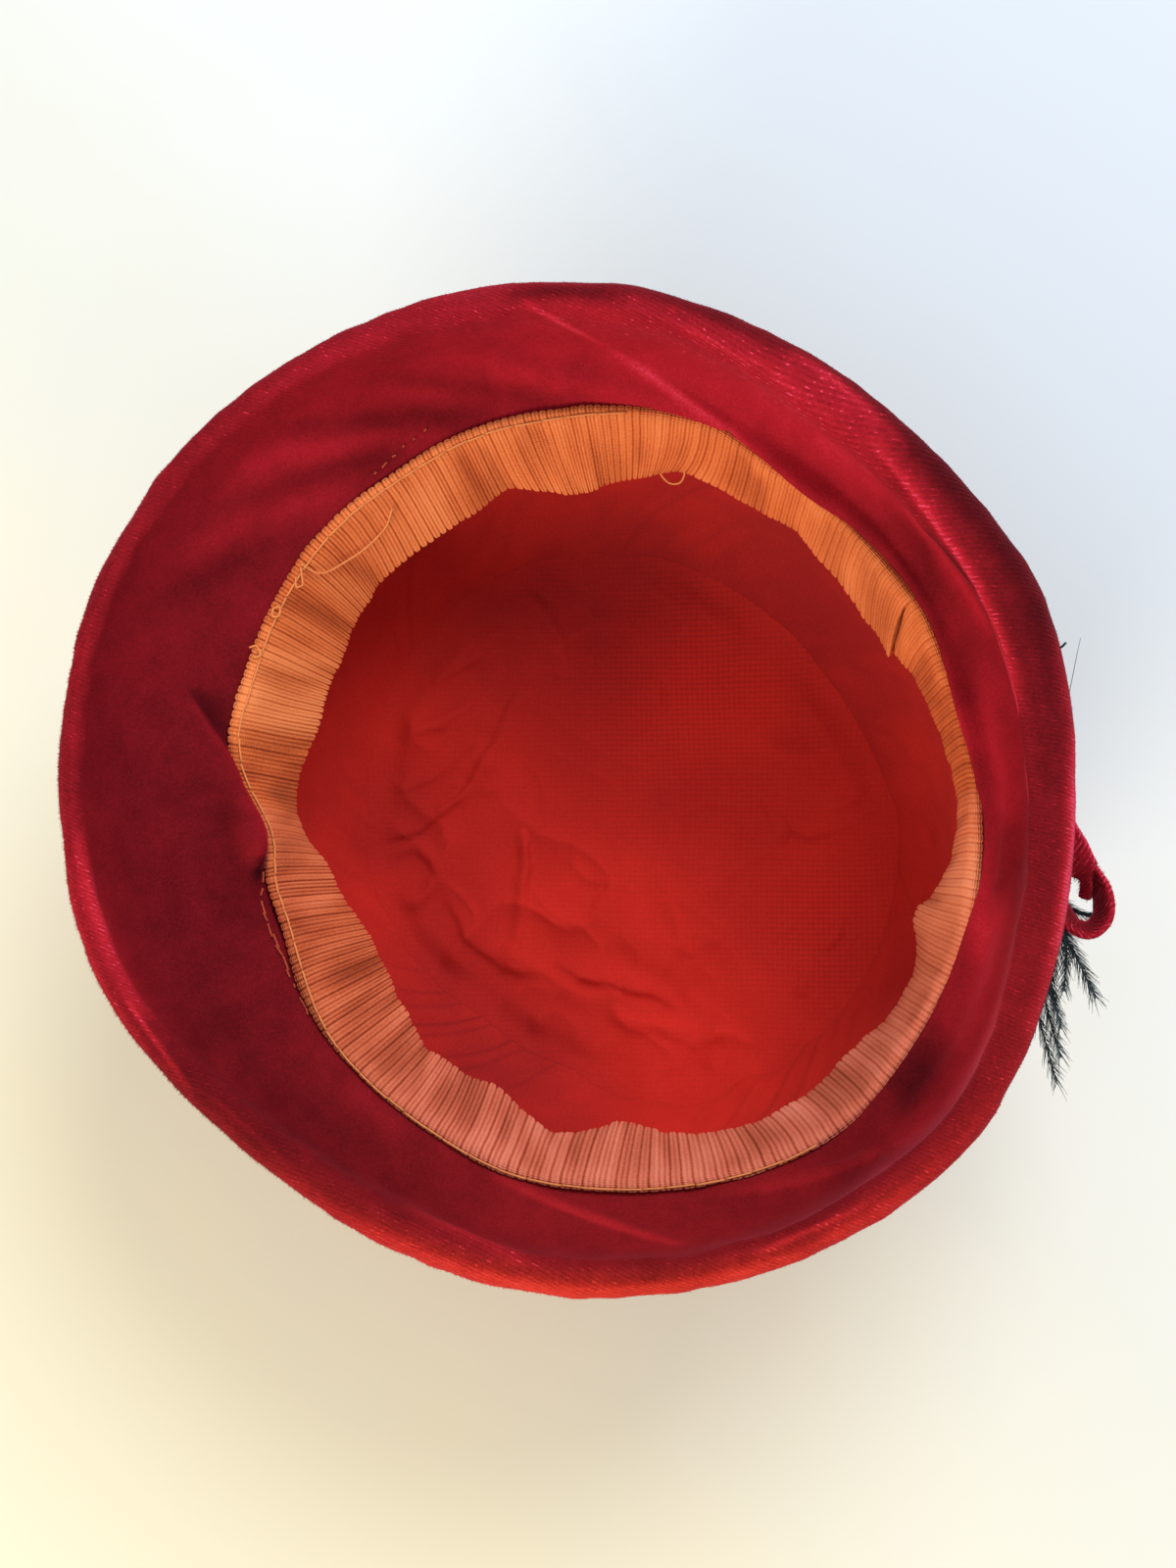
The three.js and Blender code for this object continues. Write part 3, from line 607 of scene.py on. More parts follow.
# ---- materials
class Material:
    """A procedural material and short ways to wire its nodes."""

    def __init__(self, name):
        self.material = bpy.data.materials.new(name)
        self.material.use_nodes = True
        self.tree = self.material.node_tree
        self.shader = self.tree.nodes["Principled BSDF"]

    def node(self, kind, settings=None, **inputs):
        made = self.tree.nodes.new("ShaderNode" + kind)
        for key, value in (settings or {}).items():
            setattr(made, key, value)
        for key, value in inputs.items():
            self.feed(made, key.replace("_", " "), value)
        return made

    def feed(self, made, socket, value):
        """Links a value to a socket or sets it there; i0, i1 and so on are sockets by number."""
        numbered = socket[:1] == "i" and socket[1:].isdigit()
        target = made.inputs[int(socket[1:]) if numbered else socket]
        if hasattr(value, "is_output"):
            self.tree.links.new(value, target)
        else:
            target.default_value = value

    def maths(self, operation, a, b=0.0, c=0.0):
        return self.node("Math", {"operation": operation}, i0=a, i1=b, i2=c).outputs[0]

    def times(self, a, b):
        return self.maths("MULTIPLY", a, b)

    def plus(self, base, value, amount):
        """A base and an amount of a value."""
        return self.maths("MULTIPLY_ADD", value, amount, base)

    def varied(self, base, noise, amount):
        """A base that a noise makes larger and smaller."""
        return self.plus(base, self.maths("SUBTRACT", noise, 0.5), amount)

    def patches(self, noise, low, high):
        """0 where a noise is below low, 1 where it is above high."""
        return self.node("MapRange", Value=noise, From_Min=low, From_Max=high).outputs[0]

    def waves(self, length, pitch):
        return self.maths("SINE", self.times(length, 2 * math.pi / pitch))

    def attribute(self, name):
        return self.node("Attribute", {"attribute_name": name}).outputs["Fac"]

    def place(self):
        """The place on the hat, in metres."""
        return self.node("TexCoord").outputs["Object"]

    def cloth(self):
        """The place on the flat cloth, in mm: along and across."""
        flat = self.node("UVMap", {"uv_map": "cloth"}).outputs["UV"]
        parts = self.node("SeparateXYZ", Vector=flat).outputs
        return parts["X"], parts["Y"]

    def noise(self, vector, scale, detail=2.0, roughness=0.5, distortion=0.0):
        made = self.node("TexNoise", Scale=scale, Detail=detail, Roughness=roughness, Distortion=distortion)
        self.feed(made, "Vector", vector)
        return made.outputs["Fac"]

    def mix(self, share, first, second):
        made = self.node("Mix", {"data_type": "RGBA", "clamp_factor": True}, i0=share, i6=first, i7=second)
        return made.outputs[2]

    def stops(self, share, *colours):
        """A colour ramp of (place, colour) stops."""
        made = self.node("ValToRGB", Fac=share)
        elements = made.color_ramp.elements
        while len(elements) < len(colours):
            elements.new(0.5)
        for element, (place, colour) in zip(elements, colours):
            element.position = place
            element.color = (*colour, 1)
        return made.outputs["Color"]

    def bump(self, height, distance, strength=1.0, **normal):
        """Fine relief; its distance is in metres."""
        made = self.node("Bump", Strength=strength, Distance=distance, Height=height, **normal)
        return made.outputs["Normal"]

    def finish(self, **inputs):
        for key, value in inputs.items():
            self.feed(self.shader, key.replace("_", " "), value)
        return self.material


PILE_ROW_PITCH = 1.0
PILE_ROW_HEADING = 68  # the way across the rows of pile, on the flat cloth
PILE_DASH = 2.4  # how long a row stays whole
BAND_THREAD_PITCH = 0.5  # from one fine crossing thread of the ribbon to the next
WEAVE_PITCH = 1.35  # from one thread of the lining to the next

# Colours from dark to light: the place on the scale, and the colour there.
# The velvet's colours twice, as painted light: under the cool window light and under the warm lamp's; the
# lightest stop of the first is the pink of painted sheen.
VELVET_COOL_LIT = (
    (0, (0.04, 0.0012, 0.003)), (0.25, (0.11, 0.003, 0.0062)), (0.5, (0.22, 0.006, 0.012)),
    (0.75, (0.375, 0.01, 0.021)), (0.92, (0.54, 0.022, 0.044)), (1, (0.68, 0.048, 0.11)),
)
VELVET_WARM_LIT = (
    (0, (0.042, 0.0018, 0.0022)), (0.25, (0.115, 0.0045, 0.0042)), (0.5, (0.23, 0.0095, 0.0075)),
    (0.75, (0.4, 0.017, 0.011)), (1, (0.64, 0.04, 0.023)),
)
PETERSHAM_ORANGE = (
    (0, (0.2, 0.026, 0.006)), (0.35, (0.46, 0.08, 0.018)),
    (0.65, (0.7, 0.165, 0.038)), (1, (0.86, 0.27, 0.08)),
)
# The ribbon's colours under the cool window light, painted: pinker.
PETERSHAM_COOL_LIT = (
    (0, (0.2, 0.022, 0.01)), (0.35, (0.43, 0.078, 0.04)),
    (0.65, (0.6, 0.15, 0.1)), (1, (0.76, 0.26, 0.19)),
)
LINING_RED = (
    (0, (0.14, 0.0085, 0.01)), (0.35, (0.3, 0.014, 0.014)),
    (0.6, (0.5, 0.021, 0.0155)), (1, (0.8, 0.034, 0.022)),
)
FLOOR_WARM_AND_COOL_LIGHT = ((0.0, (0.78, 0.74, 0.56)), (0.5, (0.68, 0.7, 0.645)), (1.0, (0.7, 0.755, 0.8)))


def velvet_material():
    """Cotton velvet: light and dark brushed pile with painted light and shade, rows of pile where it bends
    with painted highlights on them, and a warm copy for painted lamp light.
    """
    m = Material("velvet_pile")
    place = m.place()
    x, y = m.cloth()
    across_x, across_y = (float(v) / PILE_ROW_PITCH for v in heading(PILE_ROW_HEADING))
    along_x, along_y = (float(v) / PILE_DASH for v in heading(PILE_ROW_HEADING - 90))
    cycles = m.plus(m.plus(m.times(x, across_x), y, across_y), m.noise(place, 70.0), 1.6)
    along = m.plus(m.times(x, along_x), y, along_y)
    row_place = m.node("CombineXYZ", X=cycles, Y=along).outputs[0]
    whole = m.patches(m.noise(row_place, 1.0, 1.0), 0.38, 0.62)
    bright = m.patches(m.noise(row_place, 1.7, 1.0), 0.56, 0.72)
    grin = m.attribute("grin")
    row_height = m.times(m.waves(cycles, 1), m.times(whole, grin))
    painted_glints = m.times(bright, m.maths("MAXIMUM", row_height, 0.0))
    fine = m.noise(place, 1700.0, 3.0, 0.8)
    tone = m.varied(m.attribute("nap_and_painted_light"), m.noise(place, 45.0, distortion=0.8), 0.24)
    tone = m.varied(tone, m.noise(place, 150.0, 3.0, 0.6), 0.22)
    tone = m.varied(tone, fine, 0.5)
    painted_sheen_blots = m.patches(m.noise(place, 330.0, 2.0, 0.6, 0.6), 0.58, 0.74)
    # The rows' crests, the glints and the blots below are painted highlights, strongest where the velvet is
    # painted light.
    lit = m.maths("MULTIPLY_ADD", m.attribute("nap_and_painted_light"), 0.9, 0.08)
    tone = m.plus(tone, row_height, m.times(lit, 0.14))
    tone = m.plus(tone, painted_glints, lit)
    tone = m.plus(tone, m.times(painted_sheen_blots, grin), m.times(lit, 0.12))
    # Cool-lit colours, turned to warm-lit ones where the warm lamp's light is painted.
    cool, warm = m.stops(tone, *VELVET_COOL_LIT), m.stops(tone, *VELVET_WARM_LIT)
    return m.finish(
        Base_Color=m.mix(m.attribute("warm"), cool, warm), Roughness=0.85,
        Normal=m.bump(fine, 0.0004, 0.5, Normal=m.bump(row_height, 0.0004, 0.35)),
        Sheen_Weight=0.28, Sheen_Roughness=0.32, Sheen_Tint=(1.0, 0.16, 0.24, 1), Specular_IOR_Level=0.06,
    )


def petersham_material():
    """Ribbed ribbon: rounded ribs with painted shade in their grooves, crossed by fine threads, and pinker
    where cool window light is painted.
    """
    m = Material("petersham_ribs")
    place = m.place()
    thread = m.waves(m.cloth()[1], BAND_THREAD_PITCH)
    thread = m.times(thread, m.maths("MULTIPLY_ADD", m.attribute("shallow"), 0.7, 0.6))
    grain = m.noise(place, 1300.0, 2.0, 0.6)
    light = m.varied(m.attribute("rib_tone"), m.noise(place, 45.0, 3.0), 0.3)
    light = m.varied(m.plus(light, thread, 0.1), grain, 0.35)
    orange, pink = m.stops(light, *PETERSHAM_ORANGE), m.stops(light, *PETERSHAM_COOL_LIT)
    return m.finish(
        Base_Color=m.mix(m.attribute("cool_light_pink"), orange, pink), Roughness=0.85,
        Normal=m.bump(grain, 0.00025, 0.5, Normal=m.bump(thread, 0.00012, 0.6)),
        Sheen_Weight=0.1, Sheen_Roughness=0.5, Sheen_Tint=(1.0, 0.5, 0.25, 1), Specular_IOR_Level=0.1,
    )


def lining_material(name, weave):
    """Thin open-weave cotton: a fine square grid of threads that shows in patches."""
    m = Material(name)
    place = m.place()
    wander = m.times(m.noise(place, 25.0), 3.0)
    warp, weft = (m.waves(m.maths("ADD", way, wander), WEAVE_PITCH) for way in m.cloth())
    grid = m.plus(m.times(weft, 0.6), warp, 0.4)
    seen = m.times(grid, m.times(m.attribute("weave"), m.noise(place, 22.0)))
    grain = m.noise(place, 1400.0, 2.0, 0.6)
    light = m.varied(m.attribute("tone"), m.noise(place, 30.0, 3.0), 0.35)
    light = m.varied(m.plus(light, seen, 0.16 * weave), grain, 0.22)
    return m.finish(
        Base_Color=m.stops(light, *LINING_RED), Roughness=0.9,
        Normal=m.bump(grain, 0.0002, 0.35, Normal=m.bump(seen, 0.0002, 0.5 * weave)),
        Sheen_Weight=0.15, Sheen_Roughness=0.5, Sheen_Tint=(1.0, 0.16, 0.12, 1), Specular_IOR_Level=0.05,
    )


def thread_material(name, first, second):
    m = Material(name)
    twist = m.noise(m.place(), 900.0)
    return m.finish(
        Base_Color=m.mix(twist, (*first, 1), (*second, 1)), Roughness=0.6,
        Normal=m.bump(twist, 0.0001, 0.5), Sheen_Weight=0.03, Specular_IOR_Level=0.15,
    )


def feather_material():
    m = Material("feather_barbs")
    colour = m.mix(m.noise(m.place(), 180.0), (0.003, 0.012, 0.016, 1), (0.012, 0.045, 0.055, 1))
    return m.finish(Base_Color=colour, Roughness=0.45, Specular_IOR_Level=0.5, Sheen_Weight=0.1)


def floor_material():
    """Pale surface with painted light: warmer towards the front left, where the warm lamp stands, and cooler
    towards the back right, under the window.
    """
    m = Material("pale_board")
    place = m.place()
    parts = m.node("SeparateXYZ", Vector=place).outputs
    share = m.maths("MULTIPLY_ADD", m.maths("ADD", parts["X"], parts["Y"]), 2.2, 0.5)
    share = m.varied(share, m.noise(place, 14.0, 3.0), 0.25)
    return m.finish(Base_Color=m.stops(share, *FLOOR_WARM_AND_COOL_LIGHT), Roughness=0.7, Specular_IOR_Level=0.2)


# ---- brim
BRIM_STATIONS = 720
SEAT_PLACE = 3.05  # the place of the inner edge, on the crown's rim
PILE_COUNT = 48000
PILE_PLACES = (1.35, 2.1)  # where the standing pile starts and ends
FACING_STEPS, ROLL_STEPS, OUTSIDE_STEPS = 56, 26, 22
CLOTH_RADIUS = 100  # the radius at which lengths round the hat are counted
FLAT_RADIUS = 85  # the opening's radius in the brim's flat cloth


def brim_sections(azimuth):
    """Upright sections of the brim (radius, height), and their place: 0 opening, 1 to 2 roll, 3 foot."""
    opening = opening_radius(azimuth)
    seat = np.full_like(opening, CROWN_DEPTH + GAP)
    seat_outer, seat_inner = (np.stack([opening + step, seat], -1) for step in (SEAM_OUTSET, -SEAM_ALLOWANCE))
    along = np.linspace(0, 1, FACING_STEPS)
    sweep = np.linspace(0, 1, ROLL_STEPS + 2)[1:-1]
    down = np.linspace(0, 1, OUTSIDE_STEPS)
    end = facing_end(azimuth)
    roll = np.stack([roll_point(azimuth, end + (ROLL_START - end) * s) for s in sweep], 1)
    start = roll_point(azimuth, np.full_like(opening, ROLL_START))
    leave, arrive = (np.broadcast_to(-heading(way), start.shape) for way in (ROLL_START + 90, BRIM_SLOPE))
    outside = bezier(start, leave, seat_outer, arrive, down)
    section = np.concatenate([brim_facing(azimuth, along), roll, outside, seat_inner[:, None]], 1)
    return section, np.concatenate([along, 1 + sweep, 2 + down, [SEAT_PLACE]])


def cloth_fold(azimuth, up, fold, ups, height):
    """A fold's height at azimuths and mm up the cloth. ups: its three places, in mm up the cloth."""
    middle = fold["azimuths"][1]
    x = np.radians(turn_between(middle, azimuth)) * CLOTH_RADIUS + 0 * up
    ends = [math.radians(a - middle) * CLOTH_RADIUS for a in fold["azimuths"]]
    path = three_point_path(list(zip(ends, ups)))
    return fold_height(x, up + 0 * azimuth, path, height, fold["left"], fold["right"])


def stroke_height(azimuth, place, stroke, height):
    """A stroke's or fold's height on the brim's azimuths and places."""
    ups = [p * PLACE_LENGTH for p in stroke["places"]]
    return cloth_fold(azimuth, place * PLACE_LENGTH, stroke, ups, height)


def facing_relief(azimuth, along, length):
    """Height of the facing's folds above its plain curve."""
    up = along * length[:, None]
    height = np.zeros(up.shape)
    for fold in FACING_FOLDS:
        spans = [np.interp(a % 360, azimuth[:, 0], length) for a in fold["azimuths"]]
        height += cloth_fold(azimuth, up, fold, [s * a for s, a in zip(spans, fold["alongs"])], fold["rise"])
    hole = TUCK_HOLE
    x = np.radians(turn_between(hole["azimuth"], azimuth)) * CLOTH_RADIUS
    height -= hole["depth"] * bell(np.hypot(x, up - hole["along"] * length[:, None]), hole["radius"])
    billow = bumps_round(azimuth, 22, along * 1.6, 3) * 0.8 + bumps_round(azimuth, 50, along * 3, 4) * 0.35
    return (height + billow) * np.sqrt(np.clip(np.sin(math.pi * np.clip(along, 0, 1)), 0, 1))


def brim_grid():
    """Points of the brim's surface with its folds, their places and azimuths, and mm across the cloth."""
    azimuth = stations(BRIM_STATIONS)
    section, place = brim_sections(azimuth)
    on_lip = bell(place - LIP_START - LIP_BREADTH / 2, LIP_BREADTH / 2.6) * (place > LIP_START)
    for lip in LIPS:
        near = bell(turn_between(lip["azimuth"], azimuth), lip["spread"])[:, None]
        section[..., 0] -= lip["overhang"] * near * on_lip
        section[..., 1] += lip["rise"] * near * on_lip
    points = placed(azimuth[:, None], section[..., 0], section[..., 1])
    steps = np.linalg.norm(np.diff(section[:, :FACING_STEPS], axis=1), axis=-1)
    relief = np.zeros(points.shape[:2])
    relief[:, :FACING_STEPS] = facing_relief(azimuth[:, None], place[None, :FACING_STEPS], steps.sum(1))
    lumps = bumps_round(azimuth[:, None], 60, place * 2.5, 5) * 0.45
    lumps += bumps_round(azimuth[:, None], 150, place * 5, 6) * 0.22
    relief += lumps * ramp(place, 0.75, 1.1) * (1 - ramp(place, 2.6, 2.95))
    for fold in ROLL_FOLDS:
        relief += stroke_height(azimuth[:, None], place, fold, fold["rise"])
    across = np.append([0], np.cumsum(np.linalg.norm(np.diff(section.mean(0), axis=0), axis=-1)))
    return points - grid_normals(points) * relief[..., None], place, azimuth, across


def flat_cloth(azimuth, across):
    """Places on the brim's cloth laid flat, in mm: it is cut round, so its rows run one way."""
    return heading(azimuth) * (FLAT_RADIUS + across)[..., None]


def nap_and_light_tone(azimuth, place):
    """How light the velvet is, from 0 to 1, at any azimuth and place: brushed pile with painted light and
    shade.
    """
    azimuth, place = np.broadcast_arrays(azimuth, place)
    places = list(NAP_AND_LIGHT_PLACES.values())
    columns = [around_value(NAP_AND_LIGHT_SECTIONS, name, azimuth) for name in NAP_AND_LIGHT_PLACES]
    tone = columns[0]
    for k in range(1, len(places)):
        tone = tone + (columns[k] - columns[k - 1]) * ramp(place, places[k - 1], places[k])
    for stroke in NAP_AND_LIGHT_STROKES:
        tone = tone + stroke_height(azimuth, place, stroke, stroke["tone"])
    return tone


def pile_grin(azimuth, place):
    """How far the rows of pile part: most on the roll, and well into the facing at the right."""
    reach = 1.05 - 0.35 * bell(turn_between(70, azimuth), 40)
    return ramp(place, reach - 0.2, reach + 0.25) * (1 - 0.6 * ramp(place, 2.0, 2.4))


def painted_warm_light(azimuth, place):
    """How far the velvet's red turns to orange: painted warm lamp light at the front, most of all on the
    roll.
    """
    return bell(turn_between(275, azimuth), 52) * (0.35 + 0.65 * ramp(place, 1.2, 1.5))


def brim(velvet):
    points, place, azimuth, across = brim_grid()
    reach = np.append(across, across[-1] + BRIM_WALL)
    ring = azimuth[:, None]
    values = {"nap_and_painted_light": nap_and_light_tone(ring, place), "grin": pile_grin(ring, place), "warm": painted_warm_light(ring, place)}

    def cloth(rows, columns):
        return flat_cloth(rows * 360 / BRIM_STATIONS, reach[columns])

    dress(grid_mesh("brim_velvet", points, (True, True), cloth, values), velvet, "velvet", "brim")
    return points, place, azimuth, across


def brim_pile(velvet, points, place, azimuth, across):
    """Short pile that stands off the rolled edge and frays its outline."""
    random = np.random.default_rng(11)
    rows = random.uniform(0, len(azimuth), PILE_COUNT)
    columns = random.uniform(*np.searchsorted(place, PILE_PLACES), PILE_COUNT)
    here = rows * 360 / len(azimuth)
    place_here, across_here = (np.interp(columns, np.arange(len(place)), of) for of in (place, across))
    roots, up = (sample_grid(grid, rows, columns) for grid in (points, -grid_normals(points)))
    angle = np.radians(here)
    around = np.stack([-np.sin(angle), np.cos(angle), np.zeros_like(angle)], -1)
    lean = around * 0.5 + np.cross(around, up) * 0.3
    direction = up + lean + random.normal(0, 0.28, (PILE_COUNT, 3))
    tone = nap_and_light_tone(here, place_here) + random.normal(0.1, 0.12, PILE_COUNT)
    row = np.cos(2 * math.pi * flat_cloth(here, across_here) @ heading(PILE_ROW_HEADING) / PILE_ROW_PITCH)
    standing = 0.5 + 0.5 * bell(turn_between(205, here), 65)
    lengths = random.uniform(0.35, 0.85, PILE_COUNT) * (1 + 0.45 * row) * standing
    widths = random.uniform(0.09, 0.16, PILE_COUNT)
    values = {"nap_and_painted_light": tone, "grin": 0 * tone, "warm": painted_warm_light(here, place_here)}
    dress(tufts("brim_pile", roots - up * 0.1, direction, lengths, widths, values), velvet, "velvet")


# ---- crown
CROWN_STATIONS, CROWN_STEPS = 360, 64
CROWN_TIP_RINGS, CROWN_FLOOR_RINGS = 14, 8
CROWN_CLOTH = (55, 130, 200)  # where its outside, its inside and its floor start on the flat cloth


def crown_grid():
    """Points of the crown's velvet: over its tip, up outside, down inside and over the floor.
    With them their heights, and their places across the flat cloth."""
    ring = stations(CROWN_STATIONS)[:, None]
    heights = CROWN_DEPTH * np.linspace(0, 1, CROWN_STEPS) ** 1.6
    soft = bumps_round(ring, 16, heights / 22, 21) * 0.5 + bumps_round(ring, 60, heights / 9, 22) * 0.12
    soft = np.abs(soft) * ramp(heights, 3, 14) * (1 - ramp(heights, 64, 71))
    outside = crown_radius(ring, heights) - soft
    tip = np.linspace(0.02, 0.97, CROWN_TIP_RINGS)
    inside = outside[:, ::-3] - CROWN_WALL + 0.8 * pressed_out(ring)
    inside_heights = np.maximum(heights[::-3], CROWN_WALL)
    floor_radius = inside[:, -1:] * np.linspace(0.9, 0.02, CROWN_FLOOR_RINGS)
    radius = np.concatenate([outside[:, :1] * tip, outside, inside, floor_radius], 1)
    height = np.concatenate([0 * tip, heights, inside_heights, np.full(CROWN_FLOOR_RINGS, CROWN_WALL)])
    outside_start, inside_start, floor_start = CROWN_CLOTH
    across = [tip * outside_start, outside_start + heights * 1.1, inside_start + inside_heights]
    across.append(floor_start + np.arange(CROWN_FLOOR_RINGS))
    return placed(ring, radius, height), height, np.concatenate(across)


def crown(velvet):
    points, height, across = crown_grid()
    rows, columns = points.shape[:2]
    count = rows * columns
    faces, corner_rows, corner_columns = grid_faces(rows, columns, True)
    around = np.radians(corner_rows * 360 / rows) * CLOTH_RADIUS
    uv = np.stack([around, across[corner_columns]], -1).reshape(-1, 4, 2)
    under = cap_faces(rows, columns, 0, count)[:, [0, 2, 1]]
    over = cap_faces(rows, columns, columns - 1, count + 1)
    caps = np.stack([under, over], 1).reshape(-1, 3)
    all_points = np.concatenate([points.reshape(-1, 3), placed(0, 0, np.array([0, CROWN_WALL]))])
    all_faces = np.concatenate([halved(faces), caps])
    all_uv = np.concatenate([halved(uv), np.zeros((len(caps), 3, 2))])
    tone = 0.45 + 0.15 * bumps_round(stations(rows)[:, None], 14, height / 18, 23)
    values = {"nap_and_painted_light": np.append(tone, [0.4, 0.4]), "grin": np.append(np.full(count, 0.25), [0, 0])}
    dress(make_mesh("crown_velvet", all_points, all_faces, all_uv, values), velvet, "velvet", "crown")


# ---- sweatband
BAND_FRONT_STEPS, BAND_BACK_STEPS = 20, 6
BAND_CURVE_POINTS = 117
BAND_MARGIN = 2  # how far the curve is known past both edges of the ribbon
BAND_CLOTH_BACK, BAND_CLOTH_END = 30, 60  # where its back and its closing line lie across its cloth
SEWN_RADIUS = 89  # the mean radius at which the ribbon is sewn
END_SLANT = 4.5  # degrees the ribbon's last end slants
SMOOTHED_RIB = 0.75  # the height of ribs that are pulled flat
BAND_BACK = 0.95  # how far the ribbon's back lies behind its front
GATHER_HEIGHT = 0.6
# Where the ribs are pulled flat, and by what share.
BAND_SMOOTHED = table("azimuth spread share", (185, 4.5, 0.64), (35, 42, 0.5), (335, 26, 0.3))


def band_curve(azimuth, distance):
    """The ribbon's front face in upright sections: (radius, height) and its outward normal
    at each distance from the sewn edge."""
    lean = rim_value("lean", azimuth)
    fine = np.linspace(-BAND_MARGIN, BAND_WIDTH + BAND_MARGIN, BAND_CURVE_POINTS)
    start_slope, knee_start, knee_end = 180 + BRIM_SLOPE / 2.5, 0.8, 3.8
    angle = start_slope + (270 - lean[:, None] - start_slope) * ramp(fine, knee_start, knee_end)
    step = heading(angle) * (fine[1] - fine[0])
    curve = np.cumsum(step, 1) - step
    curve += heading(start_slope) * -BAND_MARGIN
    curve[..., 0] += opening_radius(azimuth)[:, None]
    curve[..., 1] += CROWN_DEPTH + BRIM_WALL + BAND_THICKNESS + 3 * GAP
    index = (distance - fine[0]) / (fine[1] - fine[0])
    low = np.clip(np.floor(index).astype(int), 0, len(fine) - 2)
    share = (index - low)[..., None]
    rows = np.arange(len(azimuth))[:, None]
    points = curve[rows, low] * (1 - share) + curve[rows, low + 1] * share
    return points, heading(angle[rows, low] - 90)


def band_push(azimuth):
    wave = bumps_round(azimuth, 60, 0 * azimuth, 31)
    return bells_round(BAND_PUCKERS, "push", azimuth) + wave * 0.25


def band_surface(turn, distance, lift=0.0):
    """Points on the ribbon's front face: turn in degrees along the ribbon from its start."""
    ending = ramp(turn, 345, 363)
    azimuth = BAND_START - turn
    slant = bells_round(BAND_SLANTS, "slant", azimuth) * (1 - ending) - END_SLANT * ending
    share = distance / BAND_WIDTH
    shifted = azimuth[:, None] + slant[:, None] * share * share
    curve, normal = band_curve(azimuth, distance)
    over_start = 1.2 * ramp(turn, 353, 358)[:, None]
    raised = lift + (over_start - 0.2 * (1 - ramp(turn, 6, 12))[:, None]) * (0.4 + 0.6 * share)
    curve = curve + normal * raised[..., None]
    curve[..., 0] -= band_push(azimuth)[:, None] * share**2
    stray = bells_round(BAND_STRAYS, "outset", azimuth)[:, None] * (1 - share) ** 2
    curve[..., 0] += stray
    curve[..., 1] += stray * math.tan(math.radians(BRIM_SLOPE))
    return placed(shifted, curve[..., 0], curve[..., 1])


def rib_stations():
    """Turns along the ribbon at even steps of its ribs, and the ribs counted at each."""
    turn = np.linspace(0, 360 + BAND_OVERLAP, RIB_COUNT_STEPS)
    azimuth = BAND_START - turn
    gathered = RIBS_GATHERED * np.cos(np.radians(azimuth - RIBS_GATHERED_AZIMUTH))
    local = 0.09 * bumps_round(azimuth, 30, 0 * azimuth, 34)
    per_degree = RIBS_PER_DEGREE * (1 + gathered + local)
    count = np.concatenate([[0], np.cumsum((per_degree[1:] + per_degree[:-1]) / 2 * np.diff(turn))])
    ribs = 2 * int(count[-1] / 2)
    phase = np.arange(ribs * RIB_SAMPLES + 1) / RIB_SAMPLES
    return np.interp(phase, count * ribs / count[-1], turn), phase


def rib_profile(phase, random):
    """Height of the ribs, 0 in their grooves to 1: every second groove is the deeper."""
    groove = np.floor(phase + 0.5).astype(int)
    count = groove[-1] + 1
    shallow, deep = random.uniform(0.25, 0.75, count), random.uniform(0.65, 1.1, count)
    depth = np.where(np.arange(count) % 2, shallow, deep)
    return 1 - depth[groove] * np.abs(2 * (phase % 1) - 1) ** 1.7


def thread_inset(azimuth):
    """How far inside the sewn edge the band's thread runs: well inside at the left and back."""
    turned = azimuth % 360
    return 0.55 + 1.75 * ramp(turned, 70, 100) * (1 - ramp(turned, 208, 228))


def band_gathers(azimuth, share):
    """Shallow waves of the ribbon, long across it and fanning out from its sewn edge."""
    fan = azimuth[:, None] + 1.5 * share
    wide = bumps_round(fan, 90, share * 1.4, 35)
    narrow = bumps(fan / 360 * 190 + 0.5, share * 2.0 + 3, 36, 190)
    return (0.6 * wide + 0.4 * narrow) * ramp(share, 0.02, 0.25)


def band_distance(azimuth, phase, front, random):
    """How far the front's points lie from the sewn line: the ribs scallop both edges in pairs."""
    pair = 1 - np.abs(2 * ((phase / 2) % 1) - 1) ** 3.0
    rib = np.floor(phase).astype(int)
    edge_wave = bumps_round(azimuth, 90, 0 * azimuth, 33) * 0.2
    scallop = SCALLOP_DEPTH * (pair - 0.5) * random.uniform(0.7, 1.2, rib[-1] + 2)[2 * (rib // 2)]
    sewn_share = 0.08 + 0.17 * thread_inset(azimuth)
    sewn = (scallop * sewn_share + edge_wave)[:, None] * (1 - front) ** 8
    return BAND_WIDTH * front - sewn + scallop[:, None] * front**12


def band_values(azimuth, profile, gathers, smoothed, rib_tone, columns):
    """Tone with painted light and shade, depth of the crossing threads, and the pink of painted cool window
    light at each point of the band.
    """
    front = slice(BAND_FRONT_STEPS)
    tone = np.full((len(azimuth), columns), 0.5)
    # Ribs lighter on their crests and darker in their grooves, gathers lighter on top and darker in their
    # dips, and the table's tones: painted light and shade.
    plain = 0.12 + 0.64 * profile + rib_tone + bells_round(BAND_LIGHT_AND_SHADE, "tone", azimuth)
    tone[:, front] = plain[:, None] + 0.34 * gathers * (1 - smoothed)[:, None]
    shallow = np.zeros(tone.shape)
    shallow[:, front] = ramp(-gathers, 0.0, 0.5) + bell(turn_between(38, azimuth), 10)[:, None]
    # Painted cool window light: the band turns pinker from the left round the front, less towards the right.
    turned = azimuth % 360
    cool_light_pink = 0.1 + 0.3 * ramp(turned, 179, 184) + 0.45 * ramp(turned, 210, 250)
    cool_light_pink *= 1 - 0.5 * ramp(turned, 310, 350)
    return {"rib_tone": tone, "shallow": shallow, "cool_light_pink": np.repeat(cool_light_pink, columns)}


